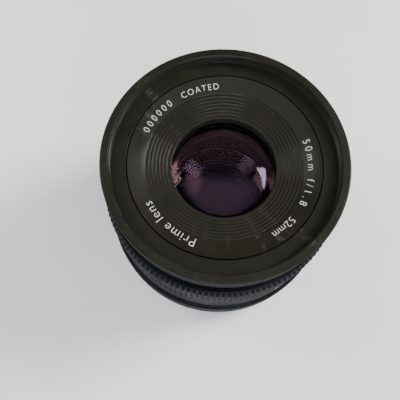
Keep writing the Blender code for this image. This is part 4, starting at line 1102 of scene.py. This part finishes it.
parts = []
distances = (("\u221e", 0.0), ("5", 12.0), ("3", 20.4), ("2", 31.0), ("1.5", 42.0), ("1", 65.6),
             ("0.7", 98.4), ("0.6", 118.0), ("0.5", 147.6))
for body, turn in distances:
    points, faces = flat_text(body, 2.0)
    parts.append((on_side(points, BAND_R, INDEX - turn, GRUB[0][2] + 4.8), faces))
    points, faces = tick(0.22, 1.1)
    parts.append((on_side(points, BAND_R, INDEX - turn, GRUB[0][2] + 2.4), faces))
lettering("focus_numbers", parts, "focus", WHITE)

parts = [(on_side(tick(0.30, 1.5)[0], MARK_R, INDEX, DOT[2] + 2.6), tick(1, 1)[1])]
for body, turn in (("4", 5.5), ("8", 11.0), ("11", 15.5), ("16", 22.0)):
    for side in (-1, 1):
        points, faces = tick(0.18, 1.1)
        parts.append((on_side(points, MARK_R, INDEX + side * turn, DOT[2] + 2.8), faces))
        points, faces = flat_text(body, 1.15)
        parts.append((on_side(points, MARK_R, INDEX + side * turn, DOT[2] + 1.2), faces))
lettering("depth_marks", parts, "mount_body", WHITE)
print("scales on", round(WAIST_R, 2), round(BAND_R, 2), round(REAR_R, 2), "mm radius")

# %% [markdown]
# ## Camera and table
#
# A normal field of view, close above the lens and a little to its near side, so that the
# rings behind the front show as a crescent below it. The table is nearly white, slightly
# uneven and dull, so that it throws soft light back up at the rings and the lens keeps a soft
# shadow. It is large, so that a low view doesn't run out of table.

# %% Camera
camera_data = bpy.data.cameras.new("camera")
camera_data.lens = 45.0
camera_data.clip_start = 0.005
camera = bpy.data.objects.new("camera", camera_data)
bpy.context.scene.collection.objects.link(camera)
camera.location = (-0.00746, -0.0425, TOP * MM + 0.103)
forward = Vector((0.016, 0.3011, -0.9535)).normalized()
right = Vector((0.99986, 0.0, 0.0168))
right = (right - forward * right.dot(forward)).normalized()
camera.rotation_euler = Matrix((right, right.cross(forward), -forward)).transposed().to_euler()
bpy.context.scene.camera = camera
print("camera", camera_data.lens, "mm, at height", round(camera.location.z / MM), "mm")

# %% Table
REACH, CELLS = 4000.0, 40
edge = np.linspace(-REACH, REACH, CELLS + 1)
x, y = np.meshgrid(edge, edge, indexing="ij")
points = np.stack([x, y, 0 * x], axis=-1).reshape(-1, 3)
floor = new_object("floor", points, [grid_faces(CELLS + 1, CELLS + 1, False, False)])
table = Finish("pale_table", (0.80, 0.795, 0.78), 0.55, 0.0, Specular_IOR_Level=0.3)
table.link(table.mix(table.between(table.noise(60.0, 6.0), 0.3, 0.7), (0.80, 0.795, 0.775, 1),
                     (0.77, 0.765, 0.75, 1)), "Base Color")
table.link(table.bump(table.noise(1500.0, 4.0), 0.00002), "Normal")
floor.data.materials.append(table.material)
floor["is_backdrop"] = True
print("table", len(floor.data.polygons), "faces")

# %% [markdown]
# ## Light
#
# Glossy black shows its lights rather than its own colour, so each lamp is placed for the
# marks that it leaves. The key stands on the right, out of the direction in which the flat
# lip mirrors the camera. Two small windows draw thin arcs on the steps, a lamp on the left
# fills the far side, and a long cool strip on the near side draws the teeth and edges of the
# rings below.

# %% Light


def soft_light(name, place_at, aim_at, width, height, power, colour):
    """A rectangle of light, `width` by `height` metres, that faces a point."""
    data = bpy.data.lights.new(name, "AREA")
    data.shape = "RECTANGLE"
    data.size = width
    data.size_y = height
    data.energy = power
    data.color = colour
    light = bpy.data.objects.new(name, data)
    bpy.context.scene.collection.objects.link(light)
    light.location = place_at
    light.rotation_euler = (Vector(aim_at) - Vector(place_at)).to_track_quat("-Z", "Y").to_euler()
    return light


AIM = Vector((0.0, 0.0, 0.02))   # the middle of the lens
for name, direction, away, width, height, power, colour in (
        ("key", (0.74, 0.26, 0.62), 0.80, 0.26, 0.32, 10.5, (1.0, 0.99, 0.97)),
        ("far_left", (-0.80, 0.32, 0.51), 0.65, 0.25, 0.25, 2.4, (1.0, 0.985, 0.96)),
        ("window_left", (-0.40, 0.36, 0.84), 0.60, 0.12, 0.18, 0.26, (1.0, 0.98, 0.95)),
        ("window_right", (0.38, 0.42, 0.82), 0.60, 0.11, 0.16, 0.11, (1.0, 0.98, 0.95)),
        ("cool_front", (0.10, -0.88, 0.47), 0.60, 0.50, 0.05, 2.8, (0.80, 0.90, 1.0))):
    soft_light(name, AIM + Vector(direction).normalized() * away, AIM, width, height, power, colour)
    print(name, power, "W")

# %% [markdown]
# ### The room
#
# The room is a world colour with three zones. Its ceiling is pale on the near side and dark
# behind the lens, because the lip and the name ring mirror that part of it straight into the
# camera, and would turn grey. The walls are a dim cool grey.

# %% World
NEAR_CEILING = (1.30, 1.31, 1.36, 1.0)
FAR_CEILING = (0.05, 0.05, 0.055, 1.0)
WALLS = (0.20, 0.215, 0.24, 1.0)
world = bpy.data.worlds.new("studio")
world.use_nodes = True
nodes, links = world.node_tree.nodes, world.node_tree.links
axes = nodes.new("ShaderNodeSeparateXYZ")
links.new(nodes.new("ShaderNodeTexCoord").outputs["Generated"], axes.inputs[0])
shares = []
for axis, low, high in ((1, 0.12, 0.32), (2, 0.45, 0.80)):      # depth, then height
    share = nodes.new("ShaderNodeMapRange")
    share.interpolation_type = "SMOOTHSTEP"
    links.new(axes.outputs[axis], share.inputs[0])
    share.inputs[1].default_value = low
    share.inputs[2].default_value = high
    shares.append(share.outputs[0])
tone = nodes.new("ShaderNodeMix"), nodes.new("ShaderNodeMix")
for blend in tone:
    blend.data_type = "RGBA"
links.new(shares[0], tone[0].inputs[0])
tone[0].inputs[6].default_value = NEAR_CEILING
tone[0].inputs[7].default_value = FAR_CEILING
links.new(shares[1], tone[1].inputs[0])
tone[1].inputs[6].default_value = WALLS
links.new(tone[0].outputs[2], tone[1].inputs[7])
links.new(tone[1].outputs[2], nodes["Background"].inputs["Color"])
nodes["Background"].inputs["Strength"].default_value = 1.0
bpy.context.scene.world = world
print("world:", len(nodes), "nodes")

# %% [markdown]
# ## Sizes
#
# The last cell measures the finished model beside the working one. Fine surfaces may lie
# inside the frame's box, but never past it, or the lens would no longer fit its neighbours.

# %% Sizes and the end
new_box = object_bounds()
for label, box in (("working box", cad_box), ("finished box", new_box)):
    print(label, [[round(c / MM, 2) for c in corner] for corner in box])
